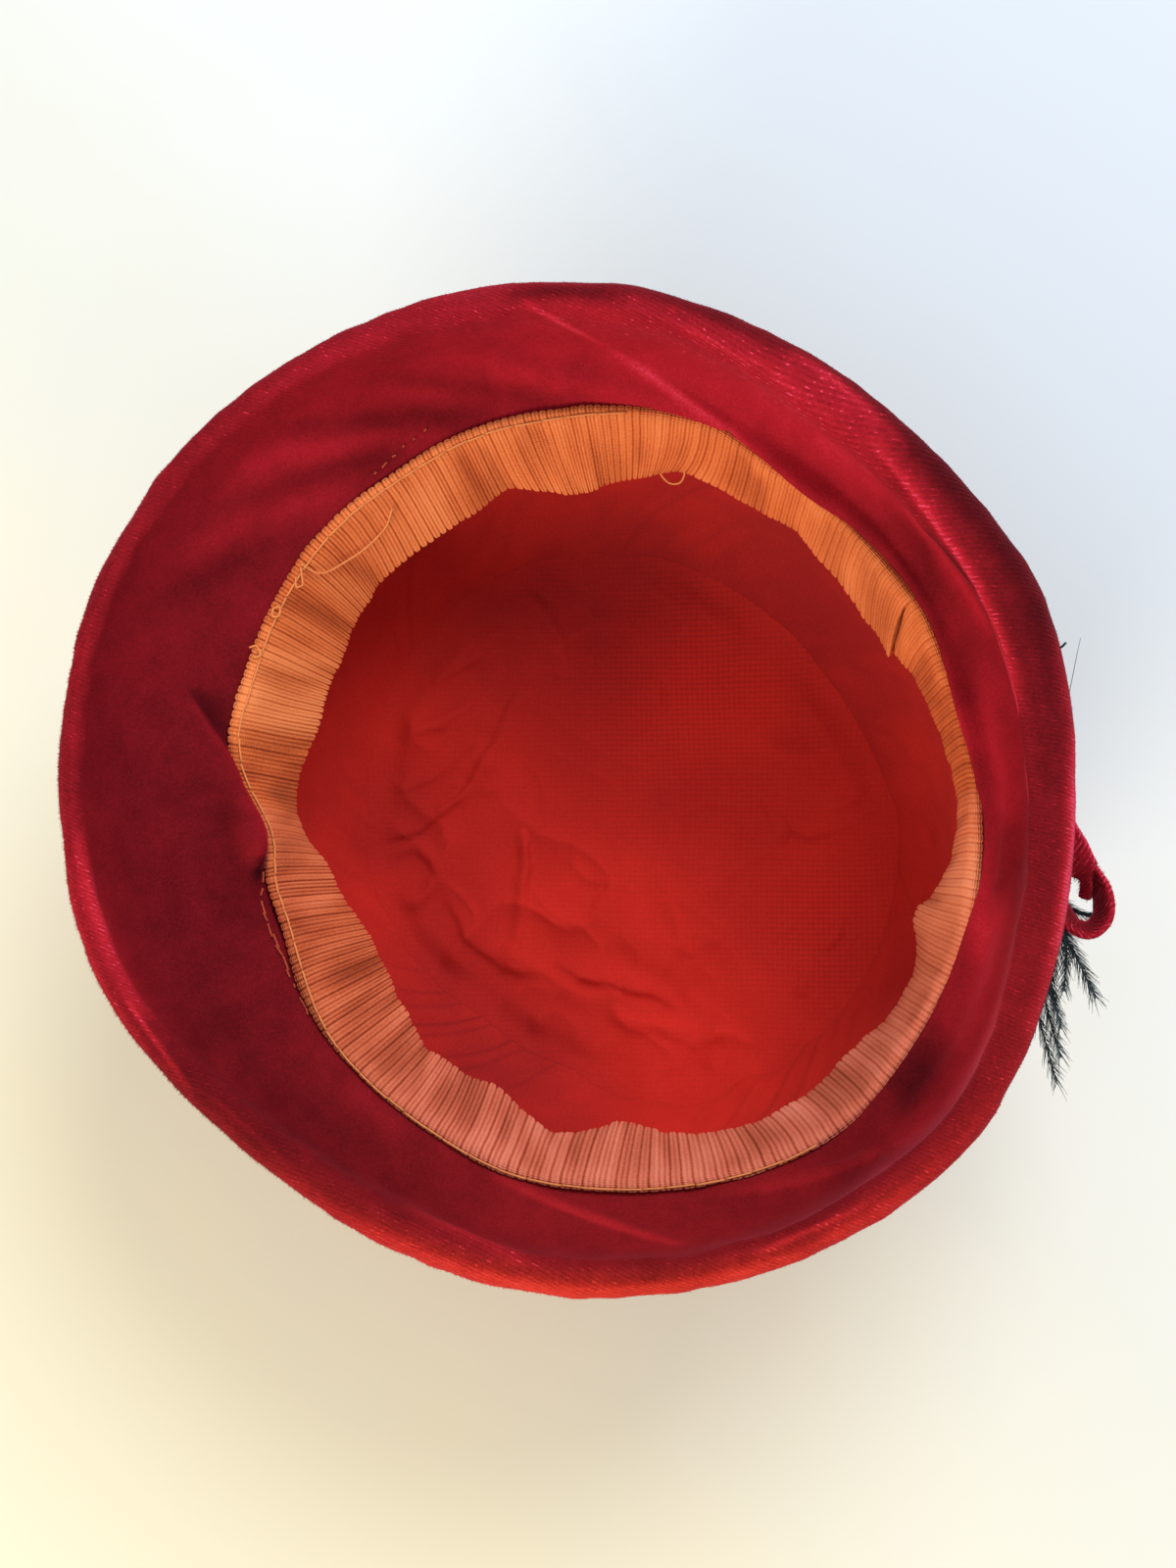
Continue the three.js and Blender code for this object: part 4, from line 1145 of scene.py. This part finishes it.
def band_grid(turn, azimuth, phase, profile, front, gathers, random):
    """Points of the ribbon, over its front and back over its back, on stations along it."""
    distance = band_distance(azimuth, phase, front, random)
    lift = profile[:, None] * RIB_DEPTH * (0.75 + 0.5 * gathers) + GATHER_HEIGHT * gathers
    front_points = band_surface(turn, distance, lift - RIB_DEPTH)
    back = np.linspace(1, 0, BAND_BACK_STEPS)
    back_distance = np.clip(BAND_WIDTH * back, 0.5, BAND_WIDTH - 0.5) + 0 * turn[:, None]
    back_lift = GATHER_HEIGHT * band_gathers(azimuth, back) - BAND_BACK
    across = np.concatenate([front * BAND_WIDTH, BAND_CLOTH_BACK + back * BAND_WIDTH, [BAND_CLOTH_END]])
    return np.concatenate([front_points, band_surface(turn, back_distance, back_lift)], 1), across


def sweatband(petersham):
    turn, phase = rib_stations()
    azimuth = BAND_START - turn
    random = np.random.default_rng(32)
    smoothed = bells_round(BAND_SMOOTHED, "share", azimuth)
    profile = rib_profile(phase, random)
    profile += (SMOOTHED_RIB - profile) * smoothed
    front = np.sin(np.linspace(0, 1, BAND_FRONT_STEPS) * math.pi / 2)
    gathers = band_gathers(azimuth, front)
    points, across = band_grid(turn, azimuth, phase, profile, front, gathers, random)
    rows, columns = points.shape[:2]
    rib_tone = random.uniform(-0.06, 0.06, int(phase[-1]) + 2)[np.floor(phase).astype(int)]
    values = band_values(azimuth, profile, gathers, smoothed, rib_tone, columns)
    length = math.radians(turn[-1]) * SEWN_RADIUS

    def cloth(row, column):
        return np.stack([row / rows * length, across[column]], -1)

    made = grid_mesh("sweatband_ribs", points, (False, True), cloth, values)
    close_ends(made)
    dress(made, petersham, "petersham", "sweatband")


# ---- lining
CLOTH_THICKNESS = 0.5
TIP_STATIONS, TIP_STEPS = 400, 120
TIP_LAST_STEP = 0.999  # the tip's edge is a very narrow step, so that its shading stays flat
RIM_ANGLE = math.radians(60)  # past it an edge is drawn sharp
TIP_SEAM_START, TIP_SEAM_END = 0.86, 0.96  # where the tip's slack is drawn flat towards its seam
SIDE_STATIONS, SIDE_STEPS = 720, 40
SIDE_TUCKS = table(
    "azimuth spread depth",
    (219, 0.5, 0.3), (226, 0.35, 0.5), (230.5, 0.5, 0.4), (236, 0.35, 0.8), (239, 0.45, 0.5),
    (245.5, 0.35, 0.8), (249, 0.5, 0.4), (257, 0.4, 0.4), (303, 0.5, 0.4), (311, 0.4, 0.6),
    (317, 0.5, 0.5), (352, 0.8, 0.3), (92, 0.7, 0.3), (142, 0.8, 0.3),
)
TUCK_SLANT = 26  # degrees the tucks turn over the strip's height
SIDE_CLOTH_WIDTH, SIDE_CLOTH_BACK, SIDE_CLOTH_END = 55, 100, 170  # places across its flat cloth
SIDE_CLOTH_RADIUS = 75


def pressed_out(azimuth):
    """Where the band presses the lining hard against the crown, from 0 to 1."""
    return bell(turn_between(0, azimuth), 24)


def lining_radius(azimuth, height):
    """Radius of the lining's inner face where it stands against the crown."""
    lying = crown_radius(azimuth, height) - CROWN_WALL - LINING_EASE - LINING_THICKNESS
    return lying + 1.4 * pressed_out(azimuth)


def tip_edge(azimuth):
    wave = 0.5 * bumps_round(azimuth, 40, 0 * azimuth, 41)
    return lining_radius(azimuth, LINING_SEAM_HEIGHT) - 0.6 - bells_round(TIP_PULLS, "pull", azimuth) + wave


def tip_relief(x, y):
    """Creases and slack of the tip above its dished form, at plan places in mm."""
    relief = 1.1 * bumps(x / 26 + 9, y / 26 + 9, 42) + 0.5 * bumps(x / 12 + 9, y / 12 + 19, 52)
    x = x + 1.4 * bumps(x / 9 + 12, y / 9 + 12, 46) + 0.4 * bumps(x / 3 + 30, y / 3 + 30, 47)
    y = y + 1.4 * bumps(x / 9 + 22, y / 9 + 12, 48) + 0.4 * bumps(x / 3 + 40, y / 3 + 30, 49)
    crumpled = 0.6 + 0.8 * ramp(-x - 0.5 * y, -10, 50)
    turned_x, turned_y = 0.8 * x - 0.6 * y, 0.6 * x + 0.8 * y
    for scale, rise in ((21, 1.3), (11, 0.6)):
        ridge = 1 - np.abs(bumps(turned_x / scale + 17, turned_y / scale + 17, 43 + scale))
        relief = relief + crumpled * rise * ridge**3
    for crease in TIP_CREASES:
        path = three_point_path(crease["path"])
        relief = relief + fold_height(x, y, path, crease["rise"], crease["left"], crease["right"])
    return relief


def lining_tone_with_light(x, y):
    # The lining's base tone with its painted light and shade.
    spots = (t["tone"] * bell(np.hypot(x - t["x"], y - t["y"]), t["spread"]) for t in LINING_LIGHT_AND_SHADE)
    return LINING_BASE_TONE + sum(spots)


def tip_grid(edge):
    """Points of the tip's upper and lower faces, from its centre to its edge."""
    ring = stations(TIP_STATIONS)[:, None]
    share = np.append(np.linspace(0.01, TIP_LAST_STEP, TIP_STEPS - 1), 1)
    dish = TIP_CENTRE_HEIGHT + (TIP_EDGE_HEIGHT - TIP_CENTRE_HEIGHT) * share**6
    upper = placed(ring, edge[:, None] * share, dish)
    flute = 0.35 * bumps_round(ring, 60, share * 2, 45) * ramp(share, 0.7, 0.97)
    slack = 1 - ramp(share, TIP_SEAM_START, TIP_SEAM_END)
    upper[..., 2] += (tip_relief(upper[..., 0], upper[..., 1]) + flute) * slack
    lower = upper[:, ::-4].copy()
    lower[..., 2] -= CLOTH_THICKNESS * (1 - 0.94 * ramp(share[::-4], TIP_SEAM_END, 1.0))
    return upper, lower


def lining_tip(material):
    edge = tip_edge(stations(TIP_STATIONS))
    upper, lower = tip_grid(edge)
    points = np.concatenate([upper, lower], 1)
    rows, columns = points.shape[:2]
    faces, _, _ = grid_faces(rows, columns, True)
    centre = upper[:, 0].mean(0)
    upper_cap = cap_faces(rows, columns, 0, rows * columns)
    lower_cap = cap_faces(rows, columns, columns - 1, rows * columns + 1)[:, [0, 2, 1]]
    all_points = np.concatenate([points.reshape(-1, 3), [centre, centre - [0, 0, CLOTH_THICKNESS]]])
    triangles = np.concatenate([halved(faces)[:, [0, 2, 1]], upper_cap, lower_cap])
    x, y = all_points[:, 0], all_points[:, 1]
    weave = 0.25 + 1.0 * bell(np.hypot(x - 22, y - 26), 28) + 0.8 * bell(np.hypot(x - 50, y + 30), 18)
    values = {"tone": lining_tone_with_light(x, y), "weave": weave}
    made = make_mesh("lining_tip_mull", all_points, triangles, all_points[triangles][:, :, :2], values)
    made.data.set_sharp_from_angle(angle=RIM_ANGLE)
    dress(made, material, "lining", "lining_tip")


def side_grid():
    """Points of the strip's two faces and their tone, the places across its flat cloth,
    and its mean radius at the wall."""
    ring = stations(SIDE_STATIONS)[:, None]
    share = np.linspace(0, 1, SIDE_STEPS) ** 1.3
    under = np.clip(share / SIDE_UNDER_TIP, 0, 1)
    rising = np.clip((share - SIDE_UNDER_TIP) / (1 - SIDE_UNDER_TIP), 0, 1)
    climb = (LINING_TOP - SIDE_FOOT_HEIGHT) * rising**1.25
    height = SIDE_FOOT_HEIGHT + climb - SIDE_FOOT_DROP * (1 - under) ** 1.3
    wall = lining_radius(ring, height[None])
    foot = tip_edge(ring) - TIP_OVERLAP * (1 - under)
    turned_in = (1 - np.clip(rising / BOWL_SHARE, 0, 1)) ** 2.6
    slanted = ring + TUCK_SLANT * share + 0.5 * bumps_round(ring, 60, share * 6, 51)
    tucks = bells_round(SIDE_TUCKS, "depth", slanted)
    loose = 1 - ramp(share, 0.7, 0.9)
    slack = 0.6 * np.abs(bumps_round(slanted, 60, share * 5, 44)) * loose
    standing = wall - slack - tucks * ramp(share, 0.1, 0.3) * loose
    front = placed(ring, standing + (foot - standing) * turned_in, height)
    front[..., 2] += (0.9 * tucks + slack) * turned_in * ramp(rising, 0.0, 0.03)
    back = (front + grid_normals(front) * CLOTH_THICKNESS)[:, ::-3]
    points = np.concatenate([front, back], 1)
    tone = lining_tone_with_light(points[..., 0], points[..., 1])
    # Painted shade in the tucks, and painted shade on the strip at the back right.
    tone[:, :SIDE_STEPS] += 0.06 * np.abs(bumps_round(slanted, 70, share * 5, 50)) - 0.2 * tucks
    tone -= 0.17 * bell(turn_between(38, ring), 48)
    across = share * SIDE_CLOTH_WIDTH
    across = np.concatenate([across, SIDE_CLOTH_BACK + across[::-3], [SIDE_CLOTH_END]])
    return points, tone, across, float(wall.mean())


def lining_side(material):
    points, tone, across, radius = side_grid()

    def cloth(rows, columns):
        return np.stack([np.radians(rows * 360 / SIDE_STATIONS) * SIDE_CLOTH_RADIUS, across[columns]], -1)

    values = {"tone": tone, "weave": 0.35}
    made = grid_mesh("lining_side_strip", points, (True, True), cloth, values)
    dress(made, material, "lining", "lining_side")


# ---- trim at the right
LOOP_ROUTE = [
    (102.6, -3.2, 72), (106.4, -5.6, 72.5), (109.3, -11.8, 73.5), (111.8, -18.3, 76), (114, -24.3, 80),
    (113.8, -29.2, 81.5), (110.8, -31.8, 81.5), (107.2, -30.4, 81), (104.8, -26.2, 79),
    (103, -21.4, 75), (100, -17, 70.5),
]
LOOP_LEAVES, LOOP_RETURNS = 35, -48
LOOP_FLARE = 26  # degrees its upper edge leans outwards, past its first third
TAIL_ROUTE = [
    (102.8, -6.5, 76.5), (106, -11, 79.5), (108.2, -15.5, 81), (109.6, -18.5, 80.5),
    (110.8, -21.5, 78.5), (110.4, -24.4, 76.5),
]
TAIL_LEAVES = -4
TAIL_TILT = 68  # degrees its face turns up towards the opening
TAIL_WHOLE, TAIL_END_WIDTH = 0.76, 2.8  # the share of it at full width, and the width of its curled end
STRIP_CUT_WIDTH = 10.5  # the strip's face and its two folded edges
STRIP_SIDES = 28  # points round the strip
LOOP_STEPS, TAIL_STEPS = 170, 90
LOOP_PILE, TAIL_PILE = 6500, 1600  # tufts on them
LOOP_NAP, TAIL_NAP = 0.36, 0.56  # how light their faces lie
FRAY_COUNT = 420
KNOT_STATIONS, KNOT_STEPS, KNOT_RELIEF = 72, 40, 0.45
KNOT_CLOTH_STEP = 0.45  # mm of its flat cloth from one point of its mesh to the next
QUILL_STEPS, QUILL_TAPER, BARB_PAIRS = 40, 0.75, 60
QUILLS = table(
    "bend tip barbs radius",
    ((104, -31, 66), (102.5, -46.5, 71), 3.4, 0.42),
    ((105.5, -31, 68), (105.8, -45.5, 74), 3.4, 0.42),
    ((106, -32, 68), (112.6, -47, 75), 3.8, 0.42),
    ((107, -26, 67), (114, -28.6, 72), 2.6, 0.34),
    ((100.8, -35, 66), (105, -54, 74), 3.4, 0.42),
    ((99.4, -38, 65), (104.8, -60.5, 73), 3.4, 0.4),
    ((97.5, -39, 63), (104, -66.5, 71), 3.4, 0.4),
    ((101.5, 26.5, 68), (107.2, 33.4, 75), 0, 1.1),
    ((105.4, 14, 68), (110.4, 34.2, 77), 0, 0.2),
    ((99.6, 17, 65), (99.6, 48, 71), 2.2, 0.34),
)


def from_opening(route):
    """Routes are measured from the opening's centre."""
    return [np.array([x + OPENING_OFFSET[0], y + OPENING_OFFSET[1], z]) for x, y, z in route]


def knot_centre():
    radius = opening_radius(np.array([KNOT_AZIMUTH])) + SEAM_OUTSET + GAP + KNOT_RADIUS
    return placed(np.array([KNOT_AZIMUTH]), radius, np.array([KNOT_HEIGHT]))[0]


def knot_seat(azimuth):
    return knot_centre() + np.array([*heading(azimuth) * (KNOT_RADIUS + GAP), 0])


def curve_through(points, steps):
    """Smooth curve through points, at even shares of its length."""
    points = np.array(points, float)
    padded = np.concatenate([[2 * points[0] - points[1]], points, [2 * points[-1] - points[-2]]])
    shares = np.linspace(0, 1, CURVE_STEPS, endpoint=False)
    fine = [spline(*padded[k : k + 4], t) for k in range(len(points) - 1) for t in shares]
    fine = np.array(fine + [points[-1]])
    lengths = np.concatenate([[0], np.cumsum(np.linalg.norm(np.diff(fine, axis=0), axis=1))])
    wanted = np.linspace(0, lengths[-1], steps)
    return np.stack([np.interp(wanted, lengths, fine[:, k]) for k in range(3)], -1)


def strip_frames(route, width_at, tilt_at, steps):
    """Places along a strip: its middle line, the ways across it and up its width, and its width."""
    spine = curve_through(route, steps)
    along = unit(np.gradient(spine, axis=0))
    level = unit(np.cross(along, [0, 0, 1.0]))
    upright = np.cross(level, along)
    share = np.linspace(0, 1, steps)
    tilt = np.radians([tilt_at(t) for t in share])[:, None]
    side = level * np.cos(tilt) + upright * np.sin(tilt)
    rise = upright * np.cos(tilt) - level * np.sin(tilt)
    return spine, side, rise, np.array([width_at(t) for t in share])


def strip(name, route, width_at, tilt_at, steps, seed, nap_and_painted_light):
    """Padded velvet strip along a route, with soft rounded edges. Its width stands upright
    and leans out to the left of the way by its tilt."""
    frames = strip_frames(route, width_at, tilt_at, steps)
    spine, side, rise, width = frames
    angle = 2 * math.pi * np.arange(STRIP_SIDES) / STRIP_SIDES
    ways = ((np.cos(angle), 0.45), (np.sin(angle), 0.8))
    flat, tall = (np.sign(way) * np.abs(way) ** power for way, power in ways)
    lump = 1 + 0.1 * bumps(np.linspace(0, 1, steps)[:, None] * 14, angle[None] * 1.3, seed)
    points = spine[:, None] + side[:, None] * (STRIP_THICKNESS / 2 * flat * lump)[..., None]
    points += rise[:, None] * (width[:, None] / 2 * tall * lump)[..., None]
    length = float(np.linalg.norm(np.diff(spine, axis=0), axis=1).sum())

    def cloth(rows, columns):
        return np.stack([columns / STRIP_SIDES * 2 * STRIP_CUT_WIDTH, rows / steps * length], -1)

    # Lighter towards its upper and lower edges: painted sheen where the rounded edges turn away.
    values = {"nap_and_painted_light": nap_and_painted_light + 0.4 * np.broadcast_to(np.abs(tall) ** 3, lump.shape), "grin": 2.2}
    made = grid_mesh(name, points, (False, True), cloth, values)
    close_ends(made)
    return made, frames, length


def strip_pile(name, frames, velvet, count, seed):
    """Pile along the upper and lower edges of a strip, and sparser on its faces."""
    *lines, width = frames
    random = np.random.default_rng(seed)
    place = random.uniform(0, len(width) - 1.001, count)
    low = np.floor(place).astype(int)
    t = (place - low)[:, None]
    centre, across, upward = (line[low] * (1 - t) + line[low + 1] * t for line in lines)
    up = np.where(random.uniform(0, 1, count) < 0.75, 1.0, -1.0) * random.uniform(0.55, 1.0, count)
    out = random.uniform(-1, 1, count)
    roots = centre + across * (out * STRIP_THICKNESS * 0.42)[:, None]
    roots += upward * (up * width[low] / 2 * 0.97)[:, None]
    direction = across * out[:, None] + upward * up[:, None] + random.normal(0, 0.3, (count, 3))
    lengths = random.uniform(0.25, 0.7, count)
    tone = random.normal(0.86, 0.14, count)
    made = tufts(name, roots, direction, lengths, np.full(count, 0.15), {"nap_and_painted_light": tone, "grin": 0 * tone})
    dress(made, velvet, "velvet")


def frayed_end(velvet, frames):
    """Loose pile and threads along the shoulder where the tail's cut edge shows."""
    spine, side, rise, width = frames
    random = np.random.default_rng(55)
    share = random.uniform(TAIL_WHOLE - 0.02, 1.0, FRAY_COUNT)
    low = (share * (len(spine) - 1)).astype(int)
    up = random.uniform(-1, 1, FRAY_COUNT)
    roots = spine[low] + rise[low] * (up * width[low] / 2)[:, None]
    onward = unit(spine[-1] - spine[-3])
    direction = onward + side[low] * random.normal(0, 0.5, (FRAY_COUNT, 1))
    direction = direction + random.normal(0, 0.5, (FRAY_COUNT, 3))
    tone = random.normal(0.9, 0.15, FRAY_COUNT)
    lengths = random.uniform(0.8, 2.0, FRAY_COUNT)
    widths = np.full(FRAY_COUNT, 0.2)
    made = tufts("bow_tail_fray", roots, direction, lengths, widths, {"nap_and_painted_light": tone, "grin": 0 * tone})
    dress(made, velvet, "velvet")


def loop_tilt(t):
    return LOOP_FLARE * float(ramp(t, 0.28, 0.5) * (1 - ramp(t, 0.75, 1.0)))


def loop_width(t):
    return STRIP_WIDTH


def bow_loop(velvet):
    route = [knot_seat(LOOP_LEAVES), *from_opening(LOOP_ROUTE), knot_seat(LOOP_RETURNS)]
    made, frames, length = strip("bow_loop_strip", route, loop_width, loop_tilt, LOOP_STEPS, 51, LOOP_NAP)
    dress(made, velvet, "velvet", "bow_loop")
    strip_pile("bow_loop_pile", frames, velvet, LOOP_PILE, 52)


def tail_tilt(t):
    return TAIL_TILT * float(ramp(t, 0, 0.4))


def tail_width(t):
    return STRIP_WIDTH + (TAIL_END_WIDTH - STRIP_WIDTH) * float(ramp(t, TAIL_WHOLE, TAIL_WHOLE + 0.1))


def bow_tail(velvet):
    route = [knot_seat(TAIL_LEAVES), *from_opening(TAIL_ROUTE)]
    made, frames, length = strip("bow_tail_strip", route, tail_width, tail_tilt, TAIL_STEPS, 53, TAIL_NAP)
    dress(made, velvet, "velvet", "bow_tail")
    strip_pile("bow_tail_pile", frames, velvet, TAIL_PILE, 54)
    frayed_end(velvet, frames)


def bow_knot(velvet):
    """The strip's knot: a ball wrapped by slanting turns of the strip."""
    around = stations(KNOT_STATIONS)
    down = np.linspace(4, 176, KNOT_STEPS)
    wraps = KNOT_RELIEF * np.abs(np.sin(np.radians(around[:, None] * 2 + down[None] * 1.6)))
    radius = KNOT_RADIUS - KNOT_RELIEF + wraps
    rise = np.cos(np.radians(down)) * radius
    spread = np.sin(np.radians(down)) * radius
    spoke = heading(around)
    points = np.stack([spoke[:, :1] * spread, spoke[:, 1:] * spread, rise], -1) + knot_centre()
    # The raised turns are lighter: painted highlight on their crests.
    values = {"nap_and_painted_light": 0.35 + wraps * 0.5, "grin": 0.6}

    def cloth(rows, columns):
        return np.stack([rows, columns], -1) * KNOT_CLOTH_STEP

    made = grid_mesh("bow_knot_wrap", points, (True, False), cloth, values)
    close_ends(made)
    dress(made, velvet, "velvet", "bow_knot")


def quill_barbs(tubes, spine, longest, random):
    """Pairs of fine barbs along the outer half of a quill."""
    along = unit(np.gradient(spine, axis=0))
    t = np.linspace(0, 1, 5)[:, None]
    for place in np.linspace(0.52, 0.985, BARB_PAIRS):
        at = place * (QUILL_STEPS - 1)
        low = int(at)
        root = spine[low] * (1 - at + low) + spine[low + 1] * (at - low)
        forward = along[low]
        level = unit(np.cross(forward, [0, 0, 1.0]))
        for turn in (-1, 1):
            length = longest * random.uniform(0.55, 1.25) * (1.15 - 0.5 * (place - 0.5))
            out = level * turn * random.uniform(0.35, 0.6) + forward * random.uniform(0.8, 1.1)
            out = unit(out + random.normal(0, 0.12, 3))
            route = root + out * length * t + forward * 0.35 * length * t * t
            tubes.add(route, 0.15 * (1 - QUILL_TAPER * t[:, 0]), 3)


def feather_spray(material):
    """Stripped feathers: thin quills with fine barbs towards their tips."""
    random = np.random.default_rng(61)
    hub = knot_centre() - np.array([0, 0, KNOT_RADIUS + GAP + 2])
    tubes = Tubes()
    for quill in QUILLS:
        spine = curve_through([hub, *from_opening([quill["bend"], quill["tip"]])], QUILL_STEPS)
        tubes.add(spine, quill["radius"] * (1 - QUILL_TAPER * np.linspace(0, 1, QUILL_STEPS)))
        if quill["barbs"]:
            quill_barbs(tubes, spine, quill["barbs"], random)
    dress(tubes.mesh("feather_spray_barbs"), material, "feather", "feather_spray")


# ---- threads
THREAD_HIDDEN = {"azimuth": 14, "spread": 72}  # where the velvet rolls over the thread
THREAD_RADIUS, TIP_LOOP_RADIUS, STITCH_RADIUS = 0.24, 0.26, 0.27
THREAD_TURNS = (4, 358)  # degrees along the band at which its thread starts and ends
THREAD_STEPS, STITCH_STEPS, CURL_STEPS, TIP_LOOP_STEPS = 9, 7, 60, 40
STITCH_RUNS = table(
    "first last start_along end_along length gap",
    (192.5, 217, 0.045, 0.05, 1.7, 2), (115, 126, 0.14, 0.05, 0.7, 1.6),
)
BAND_CURLS = [
    [(142, 1.2, 0.3), (141.6, 5.0, 0.9), (140.4, 7.8, 1.0), (137, 10.4, 1.1), (132.7, 12.2, 1.3),
     (128.2, 11.6, 1.1), (125.6, 8.0, 0.9)],
    [(144.0, 1.8, 0.4), (145.2, 2.8, 0.8), (144.4, 3.8, 0.8), (143.5, 2.8, 0.7), (142.4, 1.6, 0.4)],
    [(150.2, 0.6, 0.3), (149.2, 1.8, 0.7), (150.4, 2.5, 0.8), (151.0, 1.4, 0.7), (149.8, 0.8, 0.6)],
    [(156.8, -0.9, 0.1), (156.2, 0.6, 0.6), (157.2, 2.0, 0.5), (158.0, 0.8, 0.3)],
]
TIP_LOOP = [
    (16, 83, 56), (16.5, 80.8, 54), (18.5, 79, 53),
    (21, 79.2, 53), (22.2, 81.5, 54.5), (21.5, 83.5, 56),
]


def band_thread(material):
    """Running thread along the band's sewn edge."""
    random = np.random.default_rng(71)
    tubes = Tubes()
    turn, last = THREAD_TURNS
    while turn < last:
        length = random.uniform(2.6, 5.2)
        middle = BAND_START - turn - length / 2
        if abs(turn_between(THREAD_HIDDEN["azimuth"], middle)) < THREAD_HIDDEN["spread"]:
            turn += length
            continue
        turns = np.linspace(turn, turn + length, THREAD_STEPS)
        inset = thread_inset(BAND_START - turns) + random.uniform(-0.12, 0.12)
        rise = 0.34 * np.sin(np.linspace(0, math.pi, THREAD_STEPS)) ** 0.5 - 0.12
        tubes.add(band_surface(turns, inset[:, None], rise[:, None])[:, 0], THREAD_RADIUS)
        turn += length * random.uniform(0.97, 1.06)
    dress(tubes.mesh("band_thread"), material, "petersham")


def band_curl(rows):
    """A thread lying on the band, through places given by azimuth, distance and lift."""
    rows = np.array(rows, float)
    turn = (BAND_START - rows[:, 0]) % 360
    return curve_through(band_surface(turn, rows[:, 1:2], rows[:, 2:])[:, 0], CURL_STEPS)


def loose_threads(material):
    """Curls of loose thread on the band, and a small loop below its edge."""
    tubes = Tubes()
    for rows in BAND_CURLS:
        tubes.add(band_curl(rows), THREAD_RADIUS)
    tubes.add(curve_through(TIP_LOOP, TIP_LOOP_STEPS), TIP_LOOP_RADIUS)
    dress(tubes.mesh("loose_threads"), material, "petersham")


def brim_stitches(material, points, place, azimuth):
    """Running stitches that show in the velvet beside the band."""
    random = np.random.default_rng(73)
    tubes = Tubes()
    normals = -grid_normals(points)
    for run in STITCH_RUNS:
        here = run["first"]
        while here < run["last"]:
            length = run["length"] * random.uniform(0.35, 1.6)
            azimuths = np.linspace(here, here + length, STITCH_STEPS)
            share = (azimuths - run["first"]) / (run["last"] - run["first"])
            along = run["start_along"] + (run["end_along"] - run["start_along"]) * share
            along = along + np.linspace(*random.uniform(-0.008, 0.008, 2), STITCH_STEPS)
            rows = azimuths / 360 * len(azimuth)
            columns = np.interp(along, place[:FACING_STEPS], np.arange(FACING_STEPS))
            route = sample_grid(points, rows, columns) + sample_grid(normals, rows, columns) * 0.25
            tubes.add(route, STITCH_RADIUS)
            here += run["gap"] * random.uniform(0.9, 1.3)
    dress(tubes.mesh("brim_stitches"), material, "velvet")


# ---- stage
FLOOR_SIZE = 16  # metres
LIT_PLACE = (0, 0, 0.08)
ROOM_COLOUR, ROOM_STRENGTH = (0.95, 0.97, 1.0, 1), 0.62
LIGHTS = table(
    "name place size power colour",
    ("window", (0.7, 1.2, 1.4), 1.2, 30, (0.93, 0.96, 1)),
    ("lamp", (-1, -1.5, 0.95), 0.9, 34, (1, 0.87, 0.7)),
)


def studio():
    """A plain pale floor under soft light from a window behind and a warm lamp in front."""
    bpy.ops.mesh.primitive_plane_add(size=FLOOR_SIZE)
    floor = bpy.context.object
    floor.name = "floor"
    floor.data.materials.append(floor_material())
    world = bpy.data.worlds.new("soft_room")
    world.use_nodes = True
    background = world.node_tree.nodes["Background"].inputs
    background["Color"].default_value = ROOM_COLOUR
    background["Strength"].default_value = ROOM_STRENGTH
    bpy.context.scene.world = world
    for light in LIGHTS:
        add_light(**light)
    bpy.context.scene.view_settings.view_transform = "Standard"


def add_light(name, place, size, power, colour):
    light = bpy.data.lights.new(name, "AREA")
    light.shape = "DISK"
    light.size = size
    light.energy = power
    light.color = colour
    holder = bpy.data.objects.new(name, light)
    holder.location = place
    holder.rotation_euler = (Vector(LIT_PLACE) - Vector(place)).to_track_quat("-Z", "Y").to_euler()
    bpy.context.scene.collection.objects.link(holder)


CAMERA_TARGET = (1.4, 4.4, 75)
CAMERA_DISTANCE = 575
CAMERA_TILT, CAMERA_AZIMUTH = 9, -30
CAMERA_LENS = 56.9


def camera():
    """Looks down into the hat, tilted a little, with +Y upwards in the picture."""
    tilt, azimuth = math.radians(CAMERA_TILT), math.radians(CAMERA_AZIMUTH)
    back = Vector((math.sin(tilt) * math.cos(azimuth), math.sin(tilt) * math.sin(azimuth), math.cos(tilt)))
    right = Vector((0, 1, 0)).cross(back).normalized()
    up = back.cross(right)
    place = (Vector(CAMERA_TARGET) + back * CAMERA_DISTANCE) * MM
    data = bpy.data.cameras.new("camera")
    data.lens = CAMERA_LENS
    data.clip_start = 0.01
    holder = bpy.data.objects.new("camera", data)
    turned = Matrix((right, up, back)).transposed().to_4x4()
    holder.matrix_world = Matrix.Translation(place) @ turned
    bpy.context.scene.collection.objects.link(holder)
    bpy.context.scene.camera = holder


# ---- the whole hat
def build():
    camera()
    studio()
    velvet = velvet_material()
    petersham = petersham_material()
    tip_cloth = lining_material("lining_tip_cloth", 1.0)
    side_cloth = lining_material("lining_side_cloth", 0.6)
    crown(velvet)
    points, place, azimuth, across = brim(velvet)
    brim_pile(velvet, points, place, azimuth, across)
    sweatband(petersham)
    lining_side(side_cloth)
    lining_tip(tip_cloth)
    bow_knot(velvet)
    bow_loop(velvet)
    bow_tail(velvet)
    feather_spray(feather_material())
    orange = thread_material("orange_thread", (0.76, 0.29, 0.09), (0.6, 0.19, 0.06))
    band_thread(orange)
    loose_threads(orange)
    rose = thread_material("rose_thread", (0.5, 0.075, 0.028), (0.26, 0.028, 0.016))
    brim_stitches(rose, points, place, azimuth)


build()
